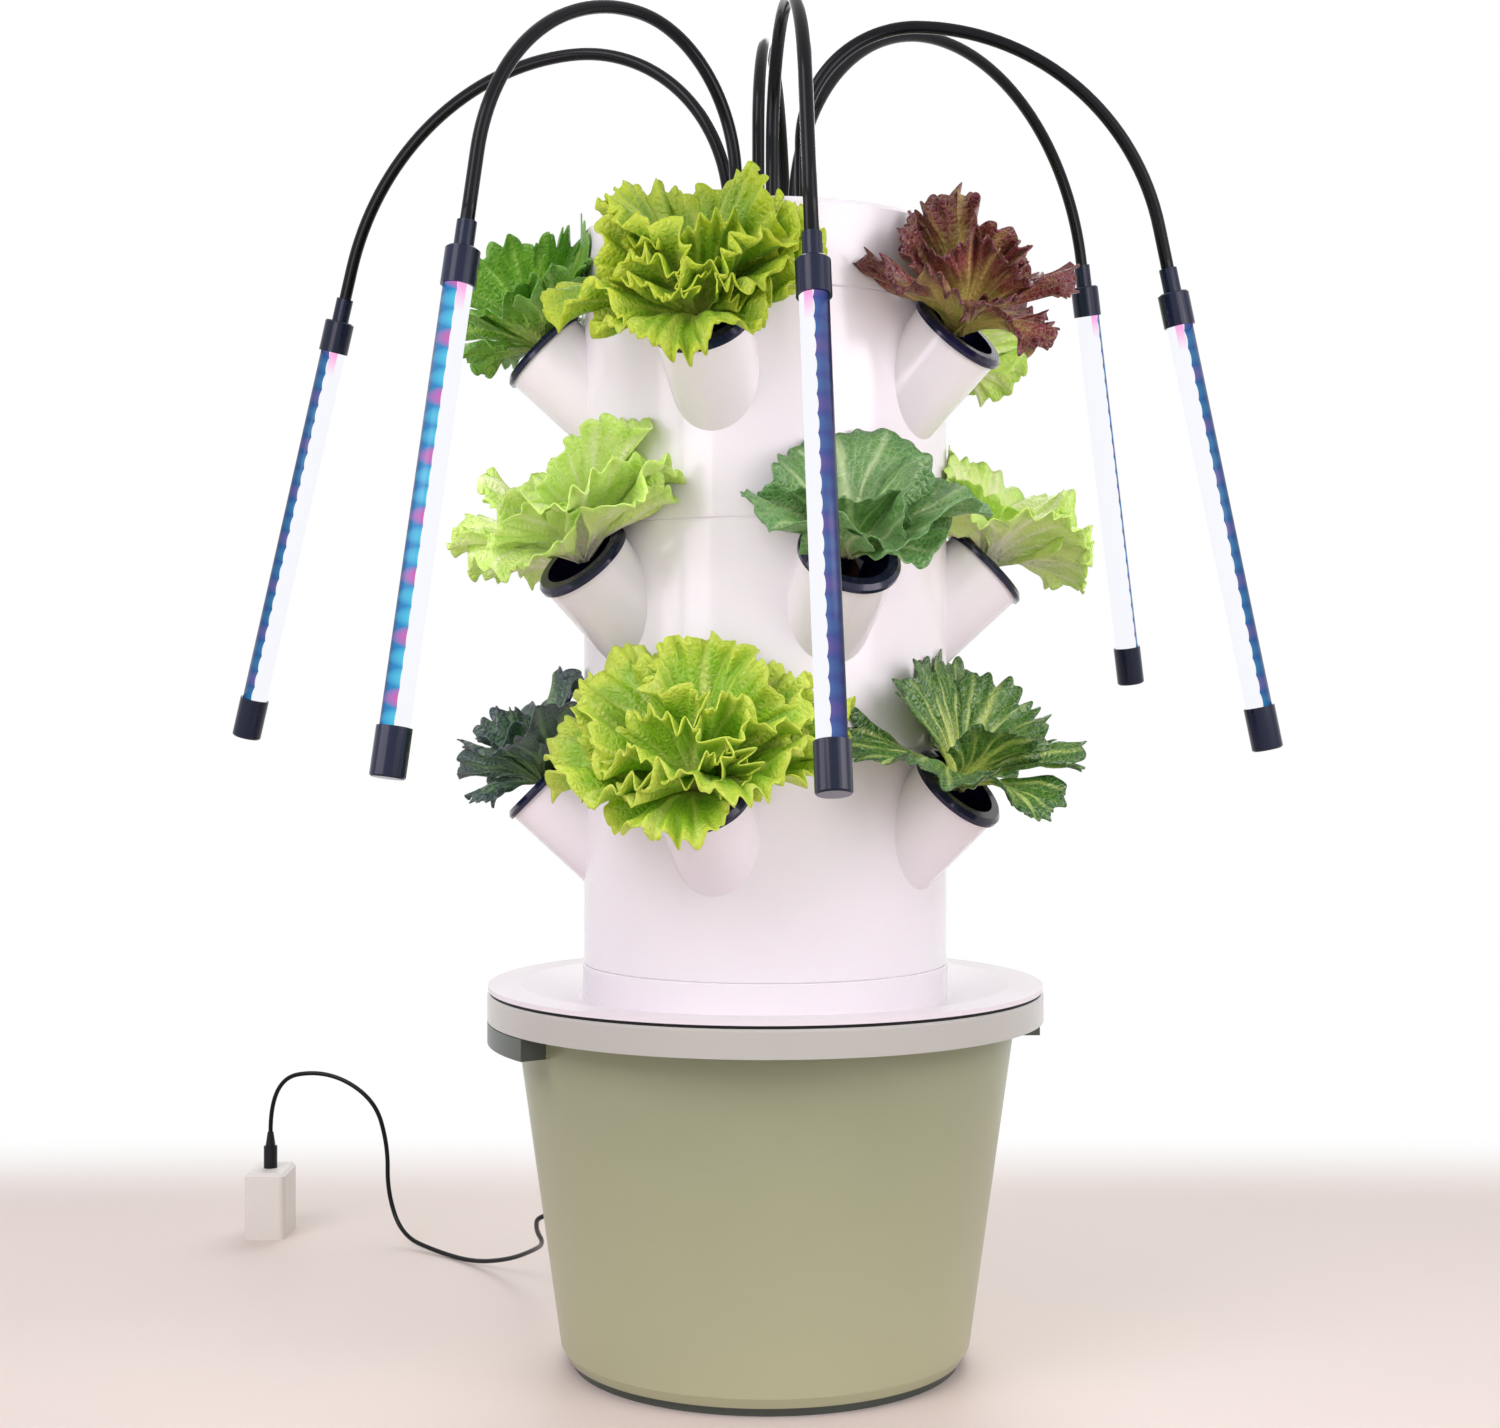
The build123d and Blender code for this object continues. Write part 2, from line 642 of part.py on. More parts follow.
def lamp_end_caps():
    """Top cap with its neck sleeve, and the closed foot cap."""
    socket_r = TUBE_R + SLIP
    top = spun((
        (NECK_R + SLIP, SLEEVE_L),
        (NECK_R + SLIP, 0),
        (0, 0),
        (0, -LAMP_CAP_WALL),
        (socket_r, -LAMP_CAP_WALL),
        (socket_r, -TOP_CAP_L),
        (LAMP_CAP_R, -TOP_CAP_L),
        (LAMP_CAP_R, -LAMP_CAP_ROUND),
        (LAMP_CAP_R - LAMP_CAP_ROUND, 0),
        (SLEEVE_R, 0),
        (SLEEVE_R, SLEEVE_L),
    ))
    foot = spun((
        (0, LAMP_CAP_WALL - LAMP_L),
        (socket_r, LAMP_CAP_WALL - LAMP_L),
        (socket_r, FOOT_CAP_L - LAMP_L),
        (LAMP_CAP_R, FOOT_CAP_L - LAMP_L),
        (LAMP_CAP_R, LAMP_CAP_ROUND - LAMP_L),
        (LAMP_CAP_R - LAMP_CAP_ROUND, -LAMP_L),
        (0, -LAMP_L),
    ))
    return [top, foot]


def half_disc(radius):
    """Half of a disc, on the side of +X."""
    arc = ThreePointArc((0, radius), (radius, 0), (0, -radius))
    return make_face(arc + Line((0, -radius), (0, radius)))


def lamp_strip(section):
    """A section drawn across the lamp, run between the two end caps."""
    length = LAMP_L - 2 * LAMP_CAP_WALL
    return Pos(0, 0, -LAMP_CAP_WALL) * extrude(section, amount=-length, dir=(0, 0, 1))


def lamp_heat_sink():
    """Half-round back of a lamp, hollow behind a flat web."""
    hollow = half_disc(TUBE_R - SINK_WALL) - Rectangle(2 * SINK_WALL, 2 * TUBE_R)
    return Rot(0, 0, 180) * lamp_strip(half_disc(TUBE_R) - hollow)


def lamp_lens():
    """Half-round clear cover of a lamp."""
    return lamp_strip(half_disc(TUBE_R) - half_disc(TUBE_R - LENS_WALL))


def lamp_board():
    """Strip board that lies on the heat sink's web under the lens."""
    length = LAMP_L - 2 * (LAMP_CAP_WALL + BOARD_INSET)
    board = Box(BOARD_T, BOARD_W, length, align=(Align.MIN, Align.CENTER, Align.MAX))
    return Pos(0, 0, -LAMP_CAP_WALL - BOARD_INSET) * board


def lead_gland():
    """Spool-shaped gland in the tank's wall, tapered towards the lead."""
    inner = -TANK_WALL - CLEARANCE - GLAND_BOW
    return gland_frame() * spun((
        (0, inner - GLAND_FLANGE_T),
        (GLAND_FLANGE_R, inner - GLAND_FLANGE_T),
        (GLAND_FLANGE_R, inner),
        (GLAND_HOLE_R - CLEARANCE, inner),
        (GLAND_HOLE_R - CLEARANCE, CLEARANCE),
        (GLAND_FLANGE_R, CLEARANCE),
        (GLAND_FLANGE_R, CLEARANCE + GLAND_FLANGE_T),
        (GLAND_NOSE_R, CLEARANCE + GLAND_FLANGE_T),
        (GLAND_TIP_R, CLEARANCE + GLAND_FLANGE_T + GLAND_NOSE_L),
        (0, CLEARANCE + GLAND_FLANGE_T + GLAND_NOSE_L),
    ))


def lead_points():
    """The lead's whole route, from the gland's tip to the plug's relief."""
    tip = CLEARANCE + GLAND_FLANGE_T + GLAND_NOSE_L
    top = ADAPTER_H + PLUG_BODY_L + PLUG_RELIEF_L
    points = [(gland_frame() * Pos(0, 0, tip + run)).position for run in (0, GLAND_RUN)]
    points += [Vector(*point) for point in LEAD_ROUTE]
    return points + [Vector(ADAPTER_X, ADAPTER_Y, top)]


def power_lead():
    """Round lead along its route, with arcs as large as the runs allow."""
    points = lead_points()
    runs = [(b - a).length for a, b in zip(points, points[1:])]
    radii = []
    for index in range(1, len(points) - 1):
        turn = (points[index] - points[index - 1]).get_angle(points[index + 1] - points[index])
        radii.append(0.45 * min(runs[index - 1], runs[index]) / tan(radians(turn) / 2))
    path = FilletPolyline(*points, radius=radii)
    section = RegularPolygon(LEAD_R, LEAD_SIDES)
    lead = sweep(Plane(points[0], z_dir=points[1] - points[0]) * section, path=path)
    print("lead radii", [round(radius, 1) for radius in radii])
    print("lead runs", [round(run, 1) for run in runs])
    print("lead length", round(path.length, 1), "volume ratio", lead.volume / (section.area * path.length))
    return lead


def lead_plug():
    """Barrel plug with a ribbed body and a tapered relief."""
    high = PLUG_BODY_L + PLUG_RELIEF_L
    body = spun((
        (0, -PLUG_PIN_L),
        (PLUG_PIN_R, -PLUG_PIN_L),
        (PLUG_PIN_R, 0),
        (PLUG_BODY_R, 0),
        (PLUG_BODY_R, PLUG_BODY_L),
        (PLUG_RELIEF_R, PLUG_BODY_L),
        (PLUG_RELIEF_TIP_R, high),
        (0, high),
    ))
    return Pos(ADAPTER_X, ADAPTER_Y, ADAPTER_H) * body


def power_adapter():
    """Mains adapter with a socket on top and two prongs folded away below."""
    block = Box(ADAPTER_W, ADAPTER_D, ADAPTER_H, align=LEVELS)
    block = fillet(block.edges().filter_by(Axis.Z), ADAPTER_ROUND)
    block = chamfer(block.faces().sort_by(Axis.Z)[-1].edges(), ADAPTER_TOP_CHAMFER)
    socket = Pos(0, 0, ADAPTER_H) * Cylinder(PLUG_PIN_R + SLIP, PLUG_PIN_L, align=HANGING)
    slot_size = (PRONG_T + 2 * PRONG_GAP, PRONG_L + 2 * PRONG_GAP, PRONG_W + PRONG_GAP)
    slot = Box(*slot_size, align=LEVELS)
    prong = Box(PRONG_T, PRONG_L, PRONG_W, align=LEVELS)
    sides = (-PRONG_SPACING / 2, PRONG_SPACING / 2)
    block = block - socket - [Pos(x, 0, 0) * slot for x in sides]
    place = Pos(ADAPTER_X, ADAPTER_Y, 0)
    return [place * block] + [place * Pos(x, 0, 0) * prong for x in sides]


def save(name, shape):
    """Write one node, which may be a list of separate solids."""
    if isinstance(shape, list):
        shape = Compound(children=shape)
    export_step(shape, f"parts/{name}.step")


def main():
    os.makedirs("parts", exist_ok=True)
    save("reservoir_tank", reservoir_tank())
    save("rim_ring", rim_ring())
    save("lid_seal", ring(SEAL_R, SEAL_INNER_R, RING_TOP_Z, LID_UNDER_Z))
    save("reservoir_lid", reservoir_lid())
    save("lead_gland", lead_gland())
    save("pump_body", pump_body())
    save("pump_cover", pump_cover())
    save("pump_impeller", pump_impeller())
    save("riser_tube", riser_tube())
    save("tower_base", tower_base())
    save("drip_plate", drip_plate())
    save("tower_cap", tower_cap())

    tier = planter_tier()
    cup = net_cup()
    plant = lettuce()
    for index, name in enumerate(TIERS):
        stagger = index % 2 * 180 / PODS
        place = Pos(0, 0, BASE_TOP_Z + index * TIER_H) * Rot(0, 0, FIRST_POD_AZIMUTH + stagger - 90)
        pods = [place * Rot(0, 0, pod * 360 / PODS) * pod_frame() for pod in range(PODS)]
        solid = tier + plate_tabs() if name == TIERS[-1] else tier
        save(f"planter_{name}", place * solid)
        save(f"net_cups_{name}", [pod * cup for pod in pods])
        save(f"lettuce_{name}", [pod * plant for pod in pods])

    caps, sink, lens, board = lamp_end_caps(), lamp_heat_sink(), lamp_lens(), lamp_board()
    for index in range(len(LAMP_ANGLES)):
        number = index + 1
        place = lamp_frame(index)
        save(f"neck_lower_{number}", neck_lower(index))
        save(f"neck_upper_{number}", neck_upper(index))
        save(f"lamp_end_caps_{number}", [place * cap for cap in caps])
        save(f"lamp_heat_sink_{number}", place * sink)
        save(f"lamp_lens_{number}", place * lens)
        save(f"lamp_board_{number}", place * board)

    save("power_lead", power_lead())
    save("lead_plug", lead_plug())
    save("power_adapter", power_adapter())


main()
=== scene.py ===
"""Looks of a tabletop hydroponic tower: plastics, grow lamps, lead and lettuce around the fixed frame.

Metres, +Z up, front towards -Y. An azimuth is counted in degrees from the front towards +X.
"""

from __future__ import annotations

import logging
import math
from dataclasses import dataclass, replace
from enum import Enum

import bpy
import numpy as np
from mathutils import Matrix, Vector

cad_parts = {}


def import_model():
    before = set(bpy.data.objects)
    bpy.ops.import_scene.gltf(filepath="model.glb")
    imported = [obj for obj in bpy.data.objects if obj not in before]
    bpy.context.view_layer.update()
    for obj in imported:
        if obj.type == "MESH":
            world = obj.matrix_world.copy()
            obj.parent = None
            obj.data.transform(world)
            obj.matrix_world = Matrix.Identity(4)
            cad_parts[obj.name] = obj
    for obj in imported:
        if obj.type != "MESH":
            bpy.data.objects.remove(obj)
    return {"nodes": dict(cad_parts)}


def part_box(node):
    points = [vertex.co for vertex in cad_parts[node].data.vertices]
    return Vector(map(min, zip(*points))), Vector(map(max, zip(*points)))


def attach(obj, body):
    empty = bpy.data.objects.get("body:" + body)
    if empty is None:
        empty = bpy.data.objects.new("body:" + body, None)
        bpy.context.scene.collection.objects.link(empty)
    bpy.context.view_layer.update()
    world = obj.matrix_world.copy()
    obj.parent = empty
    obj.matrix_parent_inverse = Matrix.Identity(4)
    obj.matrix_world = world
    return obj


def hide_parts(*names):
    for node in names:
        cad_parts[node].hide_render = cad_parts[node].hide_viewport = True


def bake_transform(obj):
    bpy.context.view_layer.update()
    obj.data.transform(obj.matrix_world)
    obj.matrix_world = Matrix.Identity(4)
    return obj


LOG = logging.getLogger("tower")
TIERS = ("bottom", "middle", "top")
LAMP_NUMBERS = range(1, 7)
GOLDEN_TURN = math.pi * (3 - math.sqrt(5))

Colour = tuple[float, float, float]
Place = tuple[float, float, float]

PURE_WHITE: Colour = (1.0, 1.0, 1.0)

# The frame's objects by the names of their nodes, filled in main.
NODES: dict[str, bpy.types.Object] = {}


def srgb(red: int, green: int, blue: int) -> Colour:
    """Linear colour of an 8-bit display colour.

    Args:
        red: Red, from 0 to 255.
        green: Green, likewise.
        blue: Blue, likewise.

    Returns:
        The colour, as shares of 1.
    """
    share = np.array((red, green, blue)) / 255
    linear = np.where(share <= 0.04045, share / 12.92, ((share + 0.055) / 1.055) ** 2.4)
    return tuple(float(value) for value in linear)


# Meshes


def make_mesh(name: str, points: np.ndarray, quads: np.ndarray, smooth: bool = True) -> bpy.types.Object:
    """Put arrays of points and four-sided faces into a new object.

    Args:
        name: The object's name.
        points: Places, one row of three numbers each.
        quads: Faces, one row of four point numbers each.
        smooth: Whether the faces shade as one curved surface.

    Returns:
        The linked object, with its place in its mesh.
    """
    mesh = bpy.data.meshes.new(name)
    mesh.vertices.add(len(points))
    mesh.vertices.foreach_set("co", np.ascontiguousarray(points, np.float32).ravel())
    mesh.loops.add(quads.size)
    mesh.loops.foreach_set("vertex_index", np.ascontiguousarray(quads, np.int32).ravel())
    mesh.polygons.add(len(quads))
    mesh.polygons.foreach_set("loop_start", np.arange(0, quads.size, 4, dtype=np.int32))
    mesh.polygons.foreach_set("use_smooth", np.full(len(quads), smooth))
    mesh.update(calc_edges=True)
    item = bpy.data.objects.new(name, mesh)
    bpy.context.scene.collection.objects.link(item)
    return item


def grid_quads(rows: int, columns: int, wrap: bool = False) -> np.ndarray:
    """Faces of a grid of points stored row by row.

    Args:
        rows: Number of rows.
        columns: Points in a row.
        wrap: Whether the last column joins the first.

    Returns:
        Four point numbers for each face.
    """
    across = columns if wrap else columns - 1
    row, column = np.meshgrid(np.arange(rows - 1), np.arange(across), indexing="ij")
    right = (column + 1) % columns
    low, high = row * columns, (row + 1) * columns
    return np.stack((low + column, low + right, high + right, high + column), -1).reshape(-1, 4)


def set_uv(item: bpy.types.Object, uv: np.ndarray) -> None:
    """Give an object a UV map.

    Args:
        item: The object.
        uv: One (u, v) pair for each point.
    """
    mesh = item.data
    layer = mesh.uv_layers.new(name="UVMap")
    loops = np.empty(len(mesh.loops), np.int32)
    mesh.loops.foreach_get("vertex_index", loops)
    layer.data.foreach_set("uv", np.ascontiguousarray(uv[loops], np.float32).ravel())


def set_colour(item: bpy.types.Object, name: str, values: np.ndarray) -> None:
    """Give an object a colour attribute.

    Args:
        item: The object.
        name: The attribute's name.
        values: Three shares of 1 for each point.
    """
    layer = item.data.color_attributes.new(name, "FLOAT_COLOR", "POINT")
    rgba = np.ones((len(values), 4), np.float32)
    rgba[:, :3] = values
    layer.data.foreach_set("color", rgba.ravel())


# Materials


class Graph:
    """Short-hand for building one node tree."""

    def __init__(self, tree: bpy.types.NodeTree) -> None:
        """Start on an empty tree."""
        self.tree = tree
        tree.nodes.clear()

    def add(self, kind: str, inputs: dict | None = None, **settings: object) -> bpy.types.Node:
        """Add a node.

        Args:
            kind: The node's type name.
            inputs: Socket names or numbers with a value, or another node's output to link.
            settings: Properties to set on the node.

        Returns:
            The new node.
        """
        node = self.tree.nodes.new(kind)
        for name, value in settings.items():
            setattr(node, name, value)
        for name, value in (inputs or {}).items():
            socket = node.inputs[name]
            if isinstance(value, bpy.types.NodeSocket):
                self.tree.links.new(value, socket)
            elif isinstance(value, tuple) and len(value) == 3 and socket.type == "RGBA":
                socket.default_value = (*value, 1)
            else:
                socket.default_value = value
        return node

    def maths(self, operation: str, first: object, second: object = 0.0) -> bpy.types.NodeSocket:
        """Result of a Math node on two numbers or outputs."""
        return self.add("ShaderNodeMath", {0: first, 1: second}, operation=operation).outputs[0]

    def blend(self, share: object, first: object, second: object) -> bpy.types.NodeSocket:
        """Mix of two colours by a share."""
        node = self.add("ShaderNodeMix", {0: share, 6: first, 7: second}, data_type="RGBA")
        return node.outputs[2]

    def ramp(self, value: object, stops: tuple[tuple[float, Colour], ...]) -> bpy.types.NodeSocket:
        """Colour looked up along a ramp.

        Args:
            value: Where to look.
            stops: Pairs of place and colour.

        Returns:
            The colour.
        """
        node = self.add("ShaderNodeValToRGB", {0: value})
        elements = node.color_ramp.elements
        while len(elements) < len(stops):
            elements.new(1.0)
        for element, (place, colour) in zip(elements, stops):
            element.position = place
            element.color = (*colour, 1)
        return node.outputs[0]

    def noise(self, place: bpy.types.NodeSocket, scale: object, detail: float = 2.0) -> bpy.types.NodeSocket:
        """Noise between 0 and 1 at a place."""
        return self.add("ShaderNodeTexNoise", {"Vector": place, "Scale": scale, "Detail": detail}).outputs[0]

    def end(self, shader: bpy.types.Node, kind: str = "ShaderNodeOutputMaterial") -> None:
        """Link a shader to the tree's output."""
        self.add(kind, {"Surface": shader.outputs[0]})


def open_material(name: str) -> tuple[bpy.types.Material, Graph | None]:
    """Find a material that is made already, or start an empty one.

    Args:
        name: The material's name, which has to differ from those of the frame's own materials.

    Returns:
        The material, and a graph to fill if it is new.
    """
    found = bpy.data.materials.get(name)
    if found:
        return found, None
    material = bpy.data.materials.new(name)
    material.use_nodes = True
    return material, Graph(material.node_tree)


def grain_group() -> bpy.types.NodeTree:
    """Moulded grain: a fine height, a slow mottle and a roughness from the object's own coordinates.

    Returns:
        The node group, made once.
    """
    tree = bpy.data.node_groups.get("moulded_grain")
    if tree:
        return tree
    tree = bpy.data.node_groups.new("moulded_grain", "ShaderNodeTree")
    graph = Graph(tree)
    for name, value in (("Grain Scale", 900.0), ("Mottle Scale", 14.0), ("Roughness", 0.4), ("Spread", 0.05)):
        tree.interface.new_socket(name, in_out="INPUT", socket_type="NodeSocketFloat").default_value = value
    for name in ("Height", "Mottle", "Roughness"):
        tree.interface.new_socket(name, in_out="OUTPUT", socket_type="NodeSocketFloat")
    inputs = graph.add("NodeGroupInput").outputs
    place = graph.add("ShaderNodeTexCoord").outputs["Object"]
    fine = graph.noise(place, inputs["Grain Scale"])
    slow = graph.noise(place, inputs["Mottle Scale"], 4.0)
    swing = graph.maths("MULTIPLY", graph.maths("SUBTRACT", slow, 0.5), inputs["Spread"])
    rough = graph.maths("ADD", inputs["Roughness"], swing)
    graph.add("NodeGroupOutput", {"Height": fine, "Mottle": slow, "Roughness": rough})
    return tree


@dataclass(frozen=True)
class Plastic:
    """A moulded plastic or rubber with fine grain and slow mottle.

    With a climb, the lighter tint at the bottom turns into the darker colour over that height: painted shade towards
    the top. With a foot, what is below that height or outside the girth takes a dark colour of painted shadow.
    """

    name: str
    colour: Colour
    tint: Colour
    roughness: float
    spread: float = 0.06
    grain: float = 900.0
    mottle: float = 14.0
    depth: float = 0.04
    coat: float = 0.0
    subsurface: float = 0.0
    specular: float = 0.5
    shade_climb: float = 0.0
    foot: float = 0.0
    girth: float = 1.0
    painted_shade_colour: Colour = (0.0, 0.0, 0.0)

    def build(self) -> bpy.types.Material:
        """Make the material once.

        Returns:
            The material.
        """
        material, graph = open_material(self.name)
        if graph is None:
            return material
        grain = graph.add("ShaderNodeGroup", {
            "Grain Scale": self.grain, "Mottle Scale": self.mottle, "Roughness": self.roughness,
            "Spread": self.spread}, node_tree=grain_group()).outputs
        bump = graph.add("ShaderNodeBump", {"Strength": self.depth, "Distance": 0.0005, "Height": grain["Height"]})
        graph.end(graph.add("ShaderNodeBsdfPrincipled", {
            "Base Color": self.shade(graph, grain["Mottle"]), "Roughness": grain["Roughness"],
            "Normal": bump.outputs[0], "Coat Weight": self.coat, "Coat Roughness": 0.08,
            "Subsurface Weight": self.subsurface, "Subsurface Scale": 0.004, "Specular IOR Level": self.specular}))
        return material

    def shade(self, graph: Graph, mottle: bpy.types.NodeSocket) -> bpy.types.NodeSocket:
        """Base colour from the mottle, with painted shade by height and radius where the finish has a climb or a
        foot.

        Args:
            graph: The material's tree.
            mottle: Share of the tint.

        Returns:
            The colour.
        """
        if not self.shade_climb and not self.foot:
            return graph.blend(mottle, self.colour, self.tint)
        place = graph.add("ShaderNodeTexCoord").outputs["Object"]
        height = graph.add("ShaderNodeSeparateXYZ", {0: place}).outputs["Z"]
        share = mottle
        # Painted shade: the colour darkens from the lighter tint at the bottom to the top of the climb.
        if self.shade_climb:
            climbed = graph.maths("MINIMUM", graph.maths("DIVIDE", height, self.shade_climb), 1.0)
            below = graph.maths("MULTIPLY", graph.maths("SUBTRACT", 1.0, climbed), 0.8)
            share = graph.maths("ADD", below, graph.maths("MULTIPLY", mottle, 0.2))
        colour = graph.blend(share, self.colour, self.tint)
        if not self.foot:
            return colour
        # Painted shadow: below the foot and outside the girth the colour turns dark.
        level = graph.add("ShaderNodeVectorMath", {0: place, 1: (1.0, 1.0, 0.0)}, operation="MULTIPLY").outputs[0]
        radius = graph.add("ShaderNodeVectorMath", {0: level}, operation="LENGTH").outputs["Value"]
        painted_shade_mask = graph.maths("MAXIMUM", graph.maths("LESS_THAN", height, self.foot),
                              graph.maths("GREATER_THAN", radius, self.girth))
        return graph.blend(painted_shade_mask, colour, self.painted_shade_colour)


# The tank is darker towards the top of its climb, a painted shade under the rim. Its dark colour below the foot and
# beyond the girth is a painted contact shadow at the foot and painted shade on the lugs.
SAGE = Plastic("tank_satin", srgb(146, 153, 122), srgb(186, 187, 151), 0.38, spread=0.08, depth=0.08, coat=0.15,
               shade_climb=0.17, foot=0.0046, girth=0.1312, painted_shade_colour=srgb(70, 78, 70))
# The tower's ivory carries a faint lavender: a painted cast of the grow lamps' light on the plastic.
IVORY = Plastic("tower_ivory", srgb(244, 240, 243), srgb(238, 232, 238), 0.24, depth=0.02, coat=0.35, subsurface=0.05)
LID = Plastic("lid_ivory", srgb(235, 228, 232), srgb(228, 220, 226), 0.32, depth=0.03, coat=0.1)
# The rim is ivory plastic darkened to grey: painted shade on its upright face, which the lamps light from above.
RIM = Plastic("rim_shaded_ivory", srgb(190, 188, 181), srgb(180, 178, 172), 0.26, depth=0.03, coat=0.3)
WHITE = Plastic("inner_white", srgb(236, 236, 232), srgb(226, 228, 226), 0.4)
ADAPTER = Plastic("adapter_shell", srgb(240, 236, 230), srgb(232, 226, 220), 0.38, depth=0.06)
RUBBER = Plastic("seal_black", srgb(16, 16, 18), srgb(24, 24, 27), 0.62, depth=0.1, specular=0.25)
BLACK = Plastic("moulded_black", srgb(16, 18, 22), srgb(25, 27, 32), 0.4, depth=0.08, specular=0.25)
NAVY = Plastic("cup_gloss", srgb(14, 15, 46), srgb(22, 23, 62), 0.2, depth=0.03, coat=0.3, specular=0.3)
NECK = Plastic("neck_satin", srgb(7, 9, 13), srgb(12, 14, 19), 0.18, spread=0.04, depth=0.01, coat=0.08,
               specular=0.16)
CAP = Plastic("lamp_cap_black", srgb(15, 21, 42), srgb(23, 31, 58), 0.24, depth=0.03, coat=0.2, specular=0.2)
TUBE = Plastic("riser_milky", srgb(214, 222, 226), srgb(200, 210, 216), 0.2, coat=0.3)
BOARD = Plastic("board_face", srgb(236, 234, 238), srgb(226, 224, 230), 0.5)

NODE_FINISHES: dict[str, Plastic] = {
    "reservoir_tank": SAGE, "rim_ring": RIM, "lid_seal": RUBBER, "reservoir_lid": LID, "lead_gland": RUBBER,
    "pump_body": BLACK, "pump_cover": BLACK, "pump_impeller": WHITE, "riser_tube": TUBE, "tower_base": IVORY,
    "drip_plate": WHITE, "tower_cap": IVORY, "lead_plug": BLACK, "power_adapter": ADAPTER,
    **{f"planter_{tier}": IVORY for tier in TIERS},
    **{f"net_cups_{tier}": NAVY for tier in TIERS},
    **{f"lamp_end_caps_{number}": CAP for number in LAMP_NUMBERS},
    **{f"lamp_board_{number}": BOARD for number in LAMP_NUMBERS},
}


def dress(item: bpy.types.Object, material: bpy.types.Material) -> None:
    """Give an object one material."""
    item.data.materials.clear()
    item.data.materials.append(material)


# Camera, light and floor


@dataclass(frozen=True)
class SoftLight:
    """One square studio light: its place and aim, its side in metres, its power in watts and its colour."""

    name: str
    place: Place
    aim: Place
    side: float
    watts: float
    colour: Colour = PURE_WHITE

    def build(self) -> None:
        """Make the light, turned to its aim and hidden from the camera."""
        data = bpy.data.lights.new(self.name, "AREA")
        data.energy, data.size, data.color = self.watts, self.side, self.colour
        item = bpy.data.objects.new(self.name, data)
        item.location = self.place
        way = np.array(self.aim) - np.array(self.place)
        flat = math.hypot(way[0], way[1])
        item.rotation_euler = (math.atan2(flat, -way[2]), 0.0, math.atan2(-way[0], way[1]))
        item.visible_camera = False
        bpy.context.scene.collection.objects.link(item)


LIGHTS: tuple[SoftLight, ...] = (
    SoftLight("key", (-1.3, -1.6, 1.9), (0.0, 0.0, 0.35), 1.3, 19.0, (1.0, 0.96, 1.0)),
    SoftLight("fill", (1.6, -1.3, 1.2), (0.0, 0.0, 0.3), 1.4, 10.0, (1.0, 0.95, 1.0)),
    SoftLight("back", (0.2, 1.7, 1.6), (0.0, 0.0, 0.4), 1.2, 12.0),
    SoftLight("glow_left", (-0.36, -0.34, 0.50), (0.0, 0.0, 0.42), 0.28, 0.8, (0.97, 0.87, 1.0)),
    SoftLight("glow_right", (0.38, -0.34, 0.50), (0.0, 0.0, 0.42), 0.28, 0.8, (1.0, 0.92, 0.99)),
)


